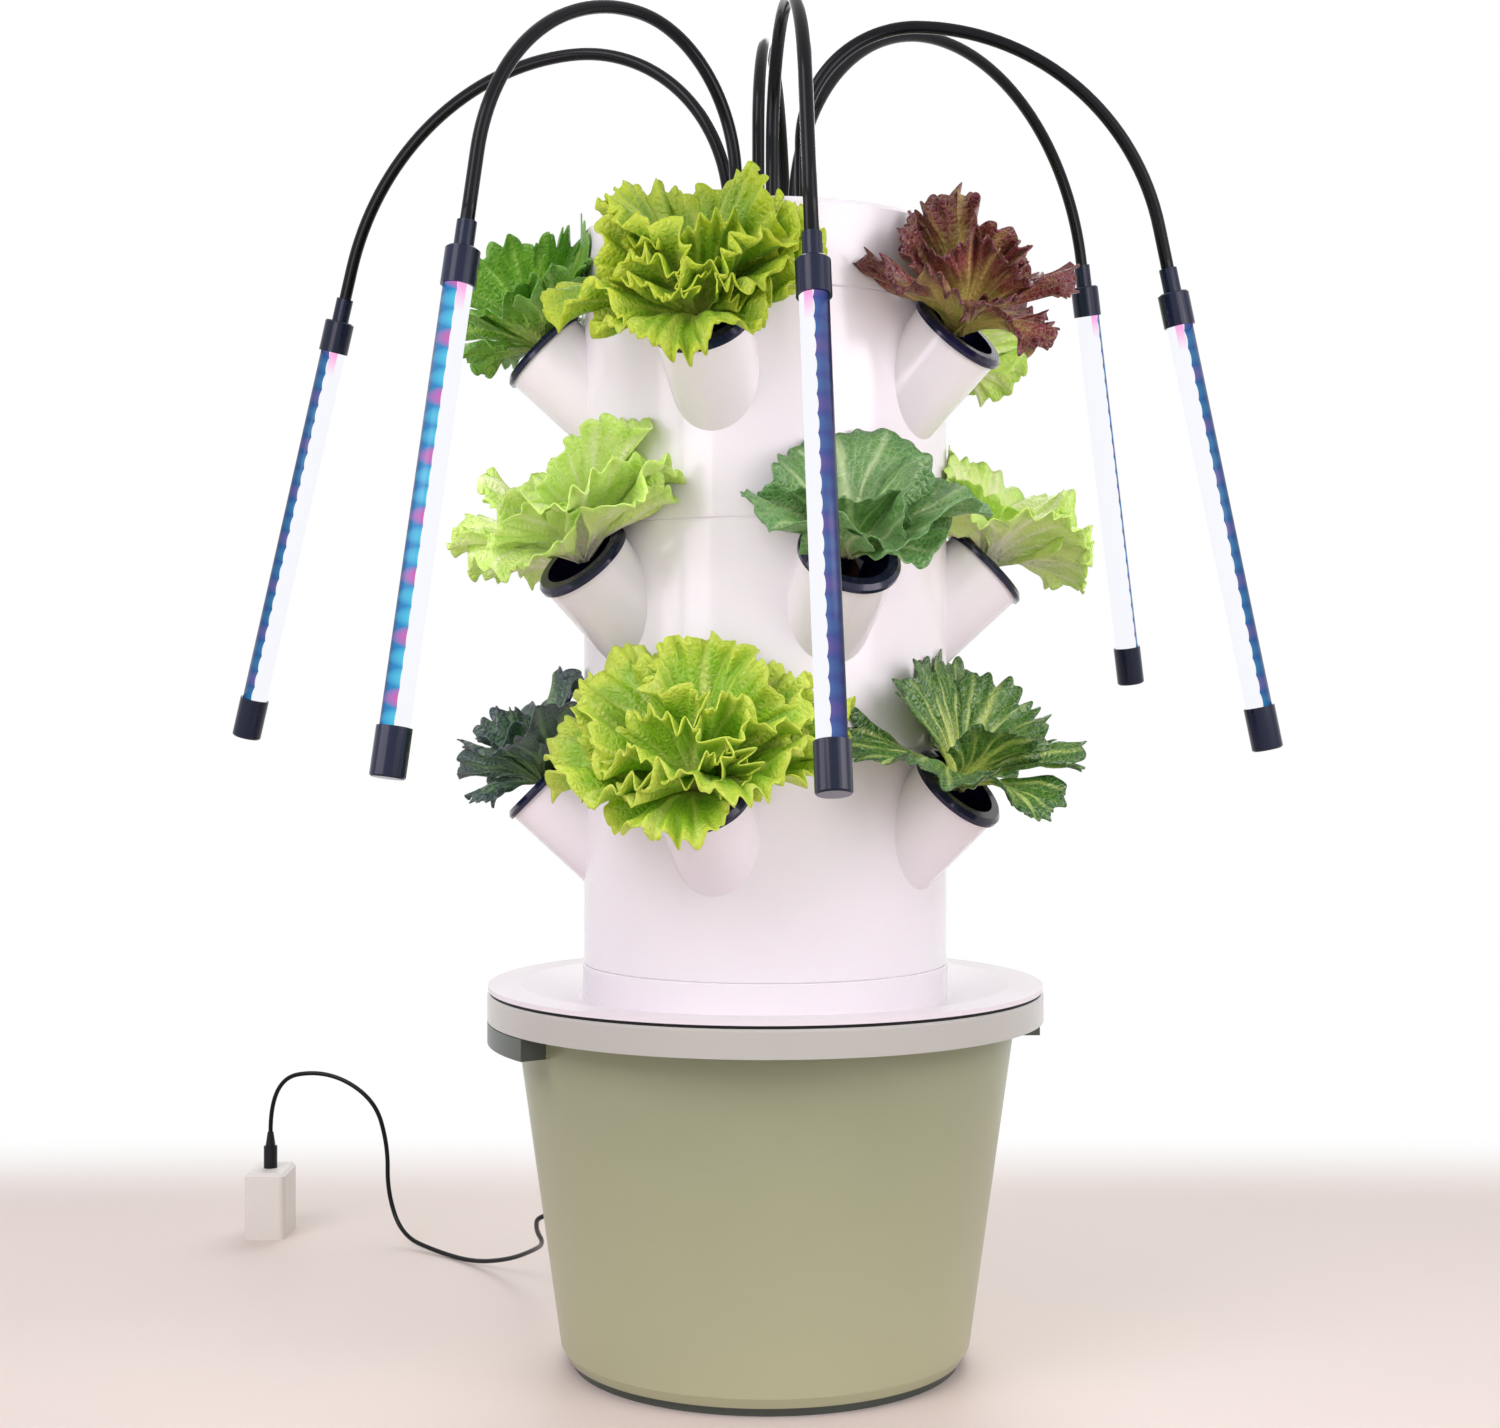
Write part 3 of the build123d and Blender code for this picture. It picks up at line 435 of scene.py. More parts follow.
@dataclass
class Studio:
    """Camera at the photograph's place, soft light, pale floor and white surround.

    The floor turns white over the two distances of fade, and sky is the light from the front and from the sides.
    """

    image_width: int = 1500
    focal_pixels: float = 2273.0
    horizon_rise_pixels: float = 26.0
    camera_place: Place = (-0.008, -1.196, 0.351)
    sensor_mm: float = 36.0
    floor_size: float = 12.0
    floor_colour: Colour = srgb(228, 214, 203)
    floor_tint: Colour = srgb(222, 208, 204)
    fade: tuple[float, float] = (0.36, 0.60)
    fade_stretch: float = 0.25
    sky: tuple[float, float] = (0.74, 0.16)

    def build(self) -> None:
        """Make the camera, the lights, the floor and the surround."""
        self.camera()
        self.floor()
        self.surround()
        for light in LIGHTS:
            light.build()

    def camera(self) -> None:
        """Level camera whose horizon sits above the picture's middle."""
        data = bpy.data.cameras.new("camera")
        data.sensor_fit = "HORIZONTAL"
        data.sensor_width = self.sensor_mm
        data.lens = self.sensor_mm * self.focal_pixels / self.image_width
        data.shift_y = -self.horizon_rise_pixels / self.image_width
        data.clip_start, data.clip_end = 0.01, 50.0
        item = bpy.data.objects.new("camera", data)
        item.location = self.camera_place
        item.rotation_euler = (math.pi / 2, 0.0, 0.0)
        bpy.context.scene.collection.objects.link(item)
        bpy.context.scene.camera = item

    @staticmethod
    def seen(graph: Graph) -> bpy.types.NodeSocket:
        """Mark the rays that see the white surround.

        Args:
            graph: The material's or the world's tree.

        Returns:
            One for rays from the camera and from glossy or clear surfaces, nought for light.
        """
        path = graph.add("ShaderNodeLightPath").outputs
        direct = graph.maths("MAXIMUM", path["Is Camera Ray"], path["Is Glossy Ray"])
        return graph.maths("MAXIMUM", direct, path["Is Transmission Ray"])

    def floor(self) -> None:
        """Plain pale floor: one flat face at the height that the tank stands on."""
        half = self.floor_size / 2
        points = np.array(((-half, -half, 0), (half, -half, 0), (half, half, 0), (-half, half, 0)), float)
        item = make_mesh("floor", points, np.array(((0, 1, 2, 3),)), smooth=False)
        dress(item, self.floor_material())

    def floor_material(self) -> bpy.types.Material:
        """Pale matt floor near the object that turns into the white surround further out.

        Returns:
            The material.
        """
        material, graph = open_material("floor_pale")
        if graph is None:
            return material
        place = graph.add("ShaderNodeTexCoord").outputs["Object"]
        colour = graph.blend(graph.noise(place, 5.0, 4.0), self.floor_colour, self.floor_tint)
        matt = graph.add("ShaderNodeBsdfPrincipled", {"Base Color": colour, "Roughness": 0.5})
        white = graph.add("ShaderNodeEmission", {"Color": PURE_WHITE, "Strength": 1.0})
        spot = graph.add("ShaderNodeSeparateXYZ", {0: place}).outputs
        behind = graph.maths("MAXIMUM", spot["Y"], graph.maths("MULTIPLY", spot["Y"], -self.fade_stretch))
        beside = graph.maths("MULTIPLY", spot["X"], self.fade_stretch)
        way = graph.add("ShaderNodeCombineXYZ", {"X": beside, "Y": behind}).outputs[0]
        reach = graph.add("ShaderNodeVectorMath", {0: way}, operation="LENGTH").outputs["Value"]
        far = graph.add("ShaderNodeMapRange", {0: reach, 1: self.fade[0], 2: self.fade[1]},
                        interpolation_type="SMOOTHSTEP").outputs[0]
        share = graph.maths("MULTIPLY", far, self.seen(graph))
        graph.end(graph.add("ShaderNodeMixShader", {0: share, 1: matt.outputs[0], 2: white.outputs[0]}))
        return material

    def surround(self) -> None:
        """White surround for the camera, with a softer level for light that falls off to both sides."""
        world = bpy.data.worlds.new("surround")
        bpy.context.scene.world = world
        world.use_nodes = True
        graph = Graph(world.node_tree)
        way = graph.add("ShaderNodeTexCoord").outputs["Generated"]
        across = graph.add("ShaderNodeSeparateXYZ", {0: way}).outputs["X"]
        side = graph.maths("MAXIMUM", graph.maths("MULTIPLY", across, -1.0), graph.maths("MULTIPLY", across, 0.85))
        level = graph.add("ShaderNodeMapRange", {0: side, 1: 0.4, 2: 0.9, 3: self.sky[0], 4: self.sky[1]},
                          interpolation_type="SMOOTHSTEP").outputs[0]
        light = graph.add("ShaderNodeBackground", {"Color": (0.98, 0.98, 1.0), "Strength": level})
        white = graph.add("ShaderNodeBackground", {"Color": PURE_WHITE, "Strength": 1.0})
        mixed = graph.add("ShaderNodeMixShader", {0: self.seen(graph), 1: light.outputs[0], 2: white.outputs[0]})
        graph.end(mixed, "ShaderNodeOutputWorld")


# Lead


@dataclass
class Lead:
    """Low-voltage lead from the tank's gland to the adapter's plug."""

    diameter: float = 0.0028
    length: float = 0.421
    route: tuple[Place, ...] = (
        (-0.1105, 0.0613, 0.0603), (-0.1261, 0.0699, 0.0579), (-0.1290, 0.0865, 0.0455), (-0.1260, 0.1070, 0.0325),
        (-0.1350, 0.1330, 0.0220), (-0.1520, 0.1600, 0.0100), (-0.1760, 0.1870, 0.0017), (-0.2010, 0.2120, 0.0016),
        (-0.2270, 0.2350, 0.0060), (-0.2380, 0.2460, 0.0310), (-0.2385, 0.2510, 0.0600), (-0.2480, 0.2560, 0.0890),
        (-0.2800, 0.2630, 0.1060), (-0.3170, 0.2690, 0.0990), (-0.3170, 0.2690, 0.0650),
    )

    def build(self) -> bpy.types.Object:
        """Make and dress the lead: a circle carried along one smooth spline that the route's points lead.

        Returns:
            The lead.
        """
        data = bpy.data.curves.new("lead", "CURVE")
        data.dimensions = "3D"
        data.bevel_depth = self.diameter / 2
        data.bevel_resolution = 6
        data.resolution_u = 16
        data.use_fill_caps = True
        spline = data.splines.new("NURBS")
        spline.points.add(len(self.route) - 1)
        spline.points.foreach_set("co", np.c_[np.array(self.route), np.ones(len(self.route))].ravel())
        spline.order_u = 3
        spline.use_endpoint_u = True
        item = bpy.data.objects.new("lead", data)
        bpy.context.scene.collection.objects.link(item)
        dress(item, NECK.build())
        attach(item, "tank")
        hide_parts("power_lead")
        return item


# Grow lamps


class Side(Enum):
    """Which half of a lamp's round tube a shell covers."""

    FRONT = 1
    BACK = -1


class DiodeRow:
    """Masks of a lamp's row of diodes on a shell, where U runs around the shell and V along the bar."""

    diodes = 26
    red_every = 3.0

    def __init__(self, graph: Graph) -> None:
        """Lay the masks out on a graph.

        Args:
            graph: The material's tree.
        """
        self.graph = graph
        self.uv = graph.add("ShaderNodeUVMap").outputs[0]
        around, self.along = graph.add("ShaderNodeSeparateXYZ", {0: self.uv}).outputs[:2]
        step = graph.maths("MULTIPLY", self.along, float(self.diodes))
        turn = graph.maths("MODULO", graph.maths("FLOOR", step), self.red_every)
        self.red = graph.maths("LESS_THAN", turn, 0.5)
        off = graph.maths("ABSOLUTE", graph.maths("SUBTRACT", graph.maths("FRACT", step), 0.5))
        self.off_middle = graph.maths("MULTIPLY", off, 2.0)
        self.from_seam = graph.maths("MINIMUM", around, graph.maths("SUBTRACT", 1.0, around))

    def spot(self, reach: float) -> bpy.types.NodeSocket:
        """Soft patch at each diode that fades away from the seam between the shells.

        Args:
            reach: Share of the shell's round that the patch spans.

        Returns:
            The patch's mask.
        """
        fall = self.graph.maths("DIVIDE", self.from_seam, reach)
        flat = self.graph.maths("MULTIPLY", self.graph.maths("POWER", self.off_middle, 2.0), 0.8)
        return self.graph.add("ShaderNodeClamp", {0: self.graph.maths(
            "SUBTRACT", 1.0, self.graph.maths("ADD", fall, flat))}).outputs[0]

    def scallop(self, depth: float) -> bpy.types.NodeSocket:
        """Hard round bite at each diode along the seam.

        Args:
            depth: Share of the shell's round that the bite spans.

        Returns:
            The bite's mask.
        """
        arch = self.graph.maths("SUBTRACT", 1.0, self.graph.maths("POWER", self.off_middle, 2.0))
        return self.graph.maths("LESS_THAN", self.from_seam, self.graph.maths("MULTIPLY", arch, depth))


@dataclass(frozen=True)
class LampBack:
    """Dark back of a lamp in place of its heat sink, with painted light: a glow from its seam, diode spots and white
    bites, fading to painted shade at its ridge.
    """

    name: str
    seam: Colour
    middle: Colour
    shaded_ridge: Colour
    spots: float
    cool: Colour = srgb(96, 214, 246)
    warm: Colour = srgb(232, 104, 190)
    glow_bite: float = 0.035

    def build(self) -> bpy.types.Material:
        """Make the material once: painted glow, diode spots and white bites at the seam, fading to painted shade at
        the ridge.

        Returns:
            The material.
        """
        material, graph = open_material(self.name)
        if graph is None:
            return material
        row = DiodeRow(graph)
        field_colour = graph.ramp(row.from_seam, ((0.0, self.seam), (0.24, self.middle), (0.42, self.shaded_ridge),
                                                  (0.5, self.shaded_ridge)))
        hue = graph.blend(row.red, self.cool, self.warm)
        lit = graph.blend(graph.maths("MULTIPLY", row.spot(0.45), self.spots), field_colour, hue)
        lit = graph.blend(row.scallop(self.glow_bite), lit, PURE_WHITE)
        rough = graph.maths("ADD", 0.16, graph.maths("MULTIPLY", graph.noise(row.uv, 40.0), 0.1))
        # The heat sink is no lamp: its emission paints the diodes' glow, and its base colour is its own navy.
        graph.end(graph.add("ShaderNodeBsdfPrincipled", {
            "Base Color": srgb(10, 12, 26), "Roughness": rough, "Emission Color": lit, "Emission Strength": 0.9,
            "Coat Weight": 0.08, "Specular IOR Level": 0.12}))
        return material


@dataclass(frozen=True)
class LampLens:
    """Clear cover of a lamp, white with light, with a pink end under its top cap."""

    name: str = "lens_lit"
    light: Colour = srgb(246, 247, 252)
    pink: Colour = srgb(255, 176, 232)
    strength: float = 1.0
    pink_from: float = 0.88
    pink_to: float = 0.93

    def build(self) -> bpy.types.Material:
        """Make the material once.

        Returns:
            The material.
        """
        material, graph = open_material(self.name)
        if graph is None:
            return material
        row = DiodeRow(graph)
        end = graph.add("ShaderNodeMapRange", {0: row.along, 1: self.pink_from, 2: self.pink_to}).outputs[0]
        near = graph.maths("LESS_THAN", row.from_seam, 0.2)
        tint = graph.blend(graph.maths("MULTIPLY", end, near), self.light, self.pink)
        rough = graph.maths("ADD", 0.12, graph.maths("MULTIPLY", graph.noise(row.uv, 40.0), 0.08))
        graph.end(graph.add("ShaderNodeBsdfPrincipled", {
            "Base Color": (0.02, 0.02, 0.022), "Roughness": rough, "Emission Color": tint,
            "Emission Strength": self.strength, "Specular IOR Level": 0.0}))
        return material


# Painted glow on the lamp backs: colours at the seam and the middle, painted shade at the ridge, and spot strength.
BLUE_BACK = LampBack("back_blue", srgb(44, 104, 168), srgb(30, 78, 134), srgb(14, 20, 42), 0.16)
VIOLET_BACK = LampBack("back_violet", srgb(84, 98, 168), srgb(62, 76, 140), srgb(22, 26, 56), 0.10)
BRIGHT_BACK = LampBack("back_bright", srgb(58, 156, 214), srgb(44, 136, 200), srgb(22, 58, 106), 0.95,
                       glow_bite=0.015)


@dataclass
class LampBar:
    """Round shell halves of one grow lamp, fitted to its strip board in the frame."""

    number: int
    radius: float = 0.0069
    wall: float = 0.0010
    board_thickness: float = 0.0012
    end_margin: float = 0.006
    arc_points: int = 20
    stations: int = 3

    def board_frame(self) -> tuple[np.ndarray, np.ndarray, float]:
        """Middle, axes and length of the strip board.

        Returns:
            The middle of the tube's axis, the rows (to the tower, across, up the bar), and the board's length.
        """
        mesh = NODES[f"lamp_board_{self.number}"].data
        points = np.empty(len(mesh.vertices) * 3)
        mesh.vertices.foreach_get("co", points)
        points = np.unique(points.reshape(-1, 3).round(7), axis=0)
        middle = points.mean(0)
        axes = np.linalg.svd(points - middle, full_matrices=False)[2]
        up = axes[0] * np.sign(axes[0][2])
        inward = axes[2] * -np.sign(axes[2][:2] @ middle[:2])
        length = np.ptp(points @ up)
        return middle - inward * self.board_thickness / 2, np.stack((inward, np.cross(up, inward), up)), length

    def shell(self, side: Side, name: str) -> bpy.types.Object:
        """Half tube: an outer and an inner half circle joined into a closed ring and carried along the bar.

        Args:
            side: The half.
            name: The object's name.

        Returns:
            The half, with U round it and V along it.
        """
        middle, axes, length = self.board_frame()
        turn = np.linspace(-math.pi / 2, math.pi / 2, self.arc_points)
        ring_r = np.r_[np.full(self.arc_points, self.radius), np.full(self.arc_points, self.radius - self.wall)]
        ring_t = np.r_[turn, turn[::-1]]
        flat = np.stack((side.value * ring_r * np.cos(ring_t), ring_r * np.sin(ring_t)), -1)
        half = length / 2 + self.end_margin
        along = np.linspace(-half, half, self.stations)
        local = np.concatenate([np.c_[flat, np.full(len(flat), level)] for level in along])
        columns = len(flat)
        quads = grid_quads(self.stations, columns, wrap=True)
        low = np.arange(self.arc_points - 1)
        end = np.stack((low, low + 1, columns - 2 - low, columns - 1 - low), -1)
        quads = np.concatenate((quads, end[:, ::-1], end + (self.stations - 1) * columns))
        if side is Side.BACK:
            quads = quads[:, ::-1]
        item = make_mesh(name, middle + local @ axes, quads)
        share = np.r_[np.linspace(0, 1, self.arc_points), np.linspace(1, 0, self.arc_points)]
        set_uv(item, np.concatenate([np.c_[share, np.full(columns, v)] for v in np.linspace(0, 1, self.stations)]))
        return item

    def build(self, back: LampBack) -> tuple[bpy.types.Object, bpy.types.Object]:
        """Make and dress both halves.

        Args:
            back: The finish of the back.

        Returns:
            The lens and the back.
        """
        lens = self.shell(Side.FRONT, f"lamp_lens_glow_{self.number}")
        sink = self.shell(Side.BACK, f"lamp_back_{self.number}")
        for item, finish, node, slot in ((lens, LampLens(), "lamp_lens", "lens_clear"),
                                         (sink, back, "lamp_heat_sink", "sink_navy")):
            dress(item, finish.build())
            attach(item, f"lamp_{self.number}")
            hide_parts(f"{node}_{self.number}")
        return lens, sink


LAMP_BACKS = (BLUE_BACK, BRIGHT_BACK, VIOLET_BACK, BLUE_BACK, BLUE_BACK, VIOLET_BACK)


# Goosenecks


@dataclass(frozen=True)
class Arm:
    """How one arm stands: turns and tilt in degrees, straight runs and bend radii in metres."""

    socket_turn: float
    arm_turn: float
    tilt: float
    rise: float
    rise_r: float
    fall_r: float
    fall: float


ARMS: tuple[Arm, ...] = (
    Arm(-110.0, -112.8, 15.1, 0.01188, 0.09432, 0.14472, 0.03024),
    Arm(-50.0, -41.8, 10.4, 0.02412, 0.07272, 0.10728, 0.04680),
    Arm(10.0, 6.0, 16.0, 0.03852, 0.05940, 0.07704, 0.09288),
    Arm(130.0, 134.1, 11.1, 0.01260, 0.11628, 0.13392, 0.01584),
    Arm(70.0, 92.8, 11.9, 0.04608, 0.06156, 0.13032, 0.03564),
    Arm(190.0, 174.0, 10.0, 0.06012, 0.06192, 0.10008, 0.06300),
)


@dataclass
class Gooseneck:
    """One lamp's arm: a smooth sleeve from its collar on the cap, over its crest, to its lamp."""

    number: int
    arm: Arm
    radius: float = 0.0034
    socket_circle: float = 0.020
    cap_top: float = 0.590
    flex: float = 0.030
    bend_rows: int = 34
    sides: int = 18
    foot: tuple[tuple[float, float], ...] = (
        (-0.014, 0.0), (-0.014, 0.0048), (0.0, 0.0048), (0.0, 0.0064), (0.0026, 0.0064), (0.0030, 0.0060),
        (0.0030, 0.0038), (0.0036, 0.0034))

    def place(self, out: np.ndarray, up: np.ndarray) -> np.ndarray:
        """Put points of the arm's own upright plane where the arm stands on the cap.

        Args:
            out: Distances out from the socket.
            up: Heights above the cap.

        Returns:
            The places.
        """
        socket, turn = math.radians(self.arm.socket_turn), math.radians(self.arm.arm_turn)
        return np.stack((self.socket_circle * math.sin(socket) + out * math.sin(turn),
                         -self.socket_circle * math.cos(socket) - out * math.cos(turn), self.cap_top + up), -1)

    def rows(self) -> tuple[np.ndarray, np.ndarray, np.ndarray, np.ndarray]:
        """Rings of the sleeve: the foot, a quarter turn up to the crest, a turn down, and the straight end.

        Returns:
            Distance out, height, heading from upright and radius of each ring.
        """
        arm = self.arm
        foot = np.array(self.foot)
        first = np.linspace(0.0, math.pi / 2, self.bend_rows)
        last = math.pi - math.radians(arm.tilt)
        second = np.linspace(math.pi / 2, last, self.bend_rows)[1:]
        top = arm.rise + arm.rise_r
        fall = np.array((0.5, 1.0, 1.0)) * arm.fall
        end_out = arm.rise_r - arm.fall_r * math.cos(last) + fall * math.sin(last)
        end_up = top - arm.fall_r + arm.fall_r * math.sin(last) + fall * math.cos(last)
        out = np.concatenate((0 * foot[:, 0], arm.rise_r * (1 - np.cos(first)),
                              arm.rise_r - arm.fall_r * np.cos(second), end_out))
        up = np.concatenate((foot[:, 0], arm.rise + arm.rise_r * np.sin(first),
                             top - arm.fall_r + arm.fall_r * np.sin(second), end_up))
        heading = np.concatenate((0 * foot[:, 0], first, second, np.full(3, last)))
        plain = np.full(len(first) + len(second) + 2, self.radius)
        return out, up, heading, np.concatenate((foot[:, 1], plain, (0.0,)))

    def build(self) -> bpy.types.Object:
        """Make and dress the sleeve, circles carried along the rings.

        Returns:
            The sleeve.
        """
        out, up, heading, radius = self.rows()
        round_turn = np.linspace(0.0, 2 * math.pi, self.sides, endpoint=False)[None, :]
        beside = radius[:, None] * np.cos(round_turn)
        across = radius[:, None] * np.sin(round_turn)
        points = self.place(out[:, None] + beside * np.cos(heading)[:, None],
                            up[:, None] - beside * np.sin(heading)[:, None])
        turn = math.radians(self.arm.arm_turn)
        points = points + across[..., None] * np.array((math.cos(turn), math.sin(turn), 0.0))
        item = make_mesh(f"gooseneck_{self.number}", points.reshape(-1, 3), grid_quads(*points.shape[:2], wrap=True))
        dress(item, NECK.build())
        top = np.full(2, self.arm.rise + self.arm.rise_r)
        start, end = self.place(self.arm.rise_r + np.array((-self.flex, self.flex)), top)
        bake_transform(item)
        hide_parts(f"neck_lower_{self.number}", f"neck_upper_{self.number}")
        return item


# Lettuce


@dataclass(frozen=True)
class LeafColours:
    """Colours of a leaf from its stalk to its margin, and of its ribs.

    The blade's colour starts at the share blade_from of the leaf's length, and gloss is its lowest roughness.
    """

    name: str
    stalk: Colour
    blade: Colour
    margin: Colour
    rib: Colour
    gloss: float = 0.38
    blade_from: float = 0.5

    def build(self) -> bpy.types.Material:
        """Make the material once: it reads the leaf's length share, rib mask and own tone from its attribute.

        Returns:
            The material.
        """
        material, graph = open_material(self.name)
        if graph is None:
            return material
        marks = graph.add("ShaderNodeVertexColor", layer_name="leaf").outputs[0]
        parts = graph.add("ShaderNodeSeparateColor", {0: marks}).outputs
        place = graph.add("ShaderNodeTexCoord").outputs["Object"]
        blotch = graph.noise(place, 130.0, 5.0)
        cells = graph.add("ShaderNodeTexVoronoi", {"Vector": place, "Scale": 330.0},
                          feature="DISTANCE_TO_EDGE").outputs[0]
        wobble = graph.maths("MULTIPLY", graph.maths("SUBTRACT", blotch, 0.5), 0.3)
        along = graph.maths("ADD", parts[0], wobble)
        base = graph.ramp(along, ((0.1, self.stalk), (self.blade_from, self.blade), (0.8, self.blade),
                                  (0.97, self.margin)))
        dark = graph.blend(0.55, base, (0.0, 0.015, 0.0))
        toned = graph.blend(graph.maths("MULTIPLY", parts[2], 0.55), base, dark)
        net = graph.maths("LESS_THAN", cells, 0.06)
        toned = graph.blend(graph.maths("MULTIPLY", net, 0.16), toned, self.rib)
        colour = graph.blend(parts[1], toned, self.rib)
        height = graph.maths("ADD", graph.maths("MULTIPLY", cells, 2.0), blotch)
        bump = graph.add("ShaderNodeBump", {"Strength": 0.5, "Distance": 0.0012, "Height": height})
        rough = graph.maths("ADD", self.gloss, graph.maths("MULTIPLY", blotch, 0.12))
        graph.end(graph.add("ShaderNodeBsdfPrincipled", {
            "Base Color": colour, "Roughness": rough, "Normal": bump.outputs[0], "Subsurface Weight": 0.25,
            "Subsurface Radius": (0.6, 1.0, 0.25), "Subsurface Scale": 0.003, "Sheen Weight": 0.05}))
        return material


LIME = LeafColours("leaf_lime", srgb(224, 234, 152), srgb(142, 188, 22), srgb(200, 221, 72), srgb(218, 230, 124))
GOLD = LeafColours("leaf_gold", srgb(216, 226, 118), srgb(128, 168, 8), srgb(184, 204, 38), srgb(198, 212, 84))
# PALE is a pale lettuce whose colours are raised further: painted light of the lamps shining through its leaves.
PALE = LeafColours("leaf_pale", srgb(251, 253, 224), srgb(222, 250, 142), srgb(202, 242, 110), srgb(252, 253, 226))
DEEP = LeafColours("leaf_deep", srgb(206, 224, 160), srgb(106, 154, 82), srgb(90, 138, 76), srgb(216, 234, 178),
                   gloss=0.28)
DUSK = LeafColours("leaf_dusk", srgb(140, 160, 110), srgb(58, 86, 72), srgb(58, 68, 80), srgb(128, 160, 108),
                   gloss=0.34)
RED = LeafColours("leaf_red", srgb(204, 212, 104), srgb(132, 54, 64), srgb(98, 22, 48), srgb(206, 180, 112),
                  gloss=0.26, blade_from=0.74)
MID = LeafColours("leaf_mid", srgb(216, 224, 116), srgb(64, 112, 38), srgb(46, 90, 40), srgb(210, 226, 130),
                  gloss=0.22)
FRESH = LeafColours("leaf_fresh", srgb(198, 216, 120), srgb(108, 162, 46), srgb(98, 152, 50), srgb(180, 212, 110),
                    gloss=0.26)


@dataclass(frozen=True)
class Variety:
    """How one kind of lettuce grows. A pair is for its outermost and its innermost leaf.

    Lengths are metres and angles degrees. Lean is from the stem at the stalk, curl is the turn to the tip, and fan is
    half the spread of a leaf. Ruffle, frill and waves are the depths and the count of its waves, lobes and notch the
    count and depth of its lobes, opened the shortening over the cup's front, and rays the points across a leaf.
    """

    colours: LeafColours
    leaves: int
    length: tuple[float, float]
    lean: tuple[float, float]
    curl: tuple[float, float]
    fan: float
    ruffle: float
    frill: float
    waves: float
    lobes: float
    notch: float
    opened: float
    seed: int
    rays: int = 140


class Kind(Enum):
    """The kinds of lettuce in the tower."""

    LIME_FRILLED = Variety(
        LIME, leaves=11, length=(0.080, 0.074), lean=(72.0, 12.0), curl=(60.0, 20.0), fan=66.0, ruffle=0.0085,
        frill=0.0046, waves=2.8, lobes=9.0, notch=0.07, opened=0.24, seed=3, rays=200)
    GOLD_FRILLED = replace(LIME_FRILLED, colours=GOLD)
    PALE_FRILLED = Variety(
        PALE, leaves=7, length=(0.080, 0.074), lean=(62.0, 20.0), curl=(58.0, 26.0), fan=60.0, ruffle=0.0080,
        frill=0.0032, waves=2.4, lobes=7.0, notch=0.06, opened=0.2, seed=11, rays=170)
    DEEP_BROAD = Variety(
        DEEP, leaves=7, length=(0.074, 0.068), lean=(66.0, 20.0), curl=(52.0, 22.0), fan=68.0, ruffle=0.0066,
        frill=0.0010, waves=2.0, lobes=5.0, notch=0.06, opened=0.3, seed=23)
    DUSK_BROAD = Variety(
        DUSK, leaves=6, length=(0.072, 0.066), lean=(62.0, 18.0), curl=(60.0, 24.0), fan=50.0, ruffle=0.0060,
        frill=0.0016, waves=2.0, lobes=6.0, notch=0.12, opened=0.4, seed=31)
    RED_FRILLED = Variety(
        RED, leaves=8, length=(0.074, 0.066), lean=(62.0, 14.0), curl=(60.0, 22.0), fan=46.0, ruffle=0.0070,
        frill=0.0034, waves=2.4, lobes=8.0, notch=0.10, opened=0.22, seed=41, rays=170)
    MID_LOBED = Variety(
        MID, leaves=7, length=(0.082, 0.072), lean=(64.0, 20.0), curl=(68.0, 26.0), fan=44.0, ruffle=0.0056,
        frill=0.0012, waves=1.8, lobes=6.0, notch=0.13, opened=0.22, seed=57)
    FRESH_LOBED = Variety(
        FRESH, leaves=7, length=(0.076, 0.070), lean=(64.0, 20.0), curl=(60.0, 24.0), fan=52.0, ruffle=0.0064,
        frill=0.0020, waves=2.0, lobes=6.0, notch=0.14, opened=0.45, seed=63)


@dataclass(frozen=True)
class Leaves:
    """What is drawn by lot for a plant, one value for each leaf, shaped to spread over its grid.

    Angles are radians and lengths metres. The four phases shift a leaf's waves, and its tone darkens it.
    """

    heading: np.ndarray
    length: np.ndarray
    lean: np.ndarray
    curl: np.ndarray
    phase: np.ndarray
    tone: np.ndarray


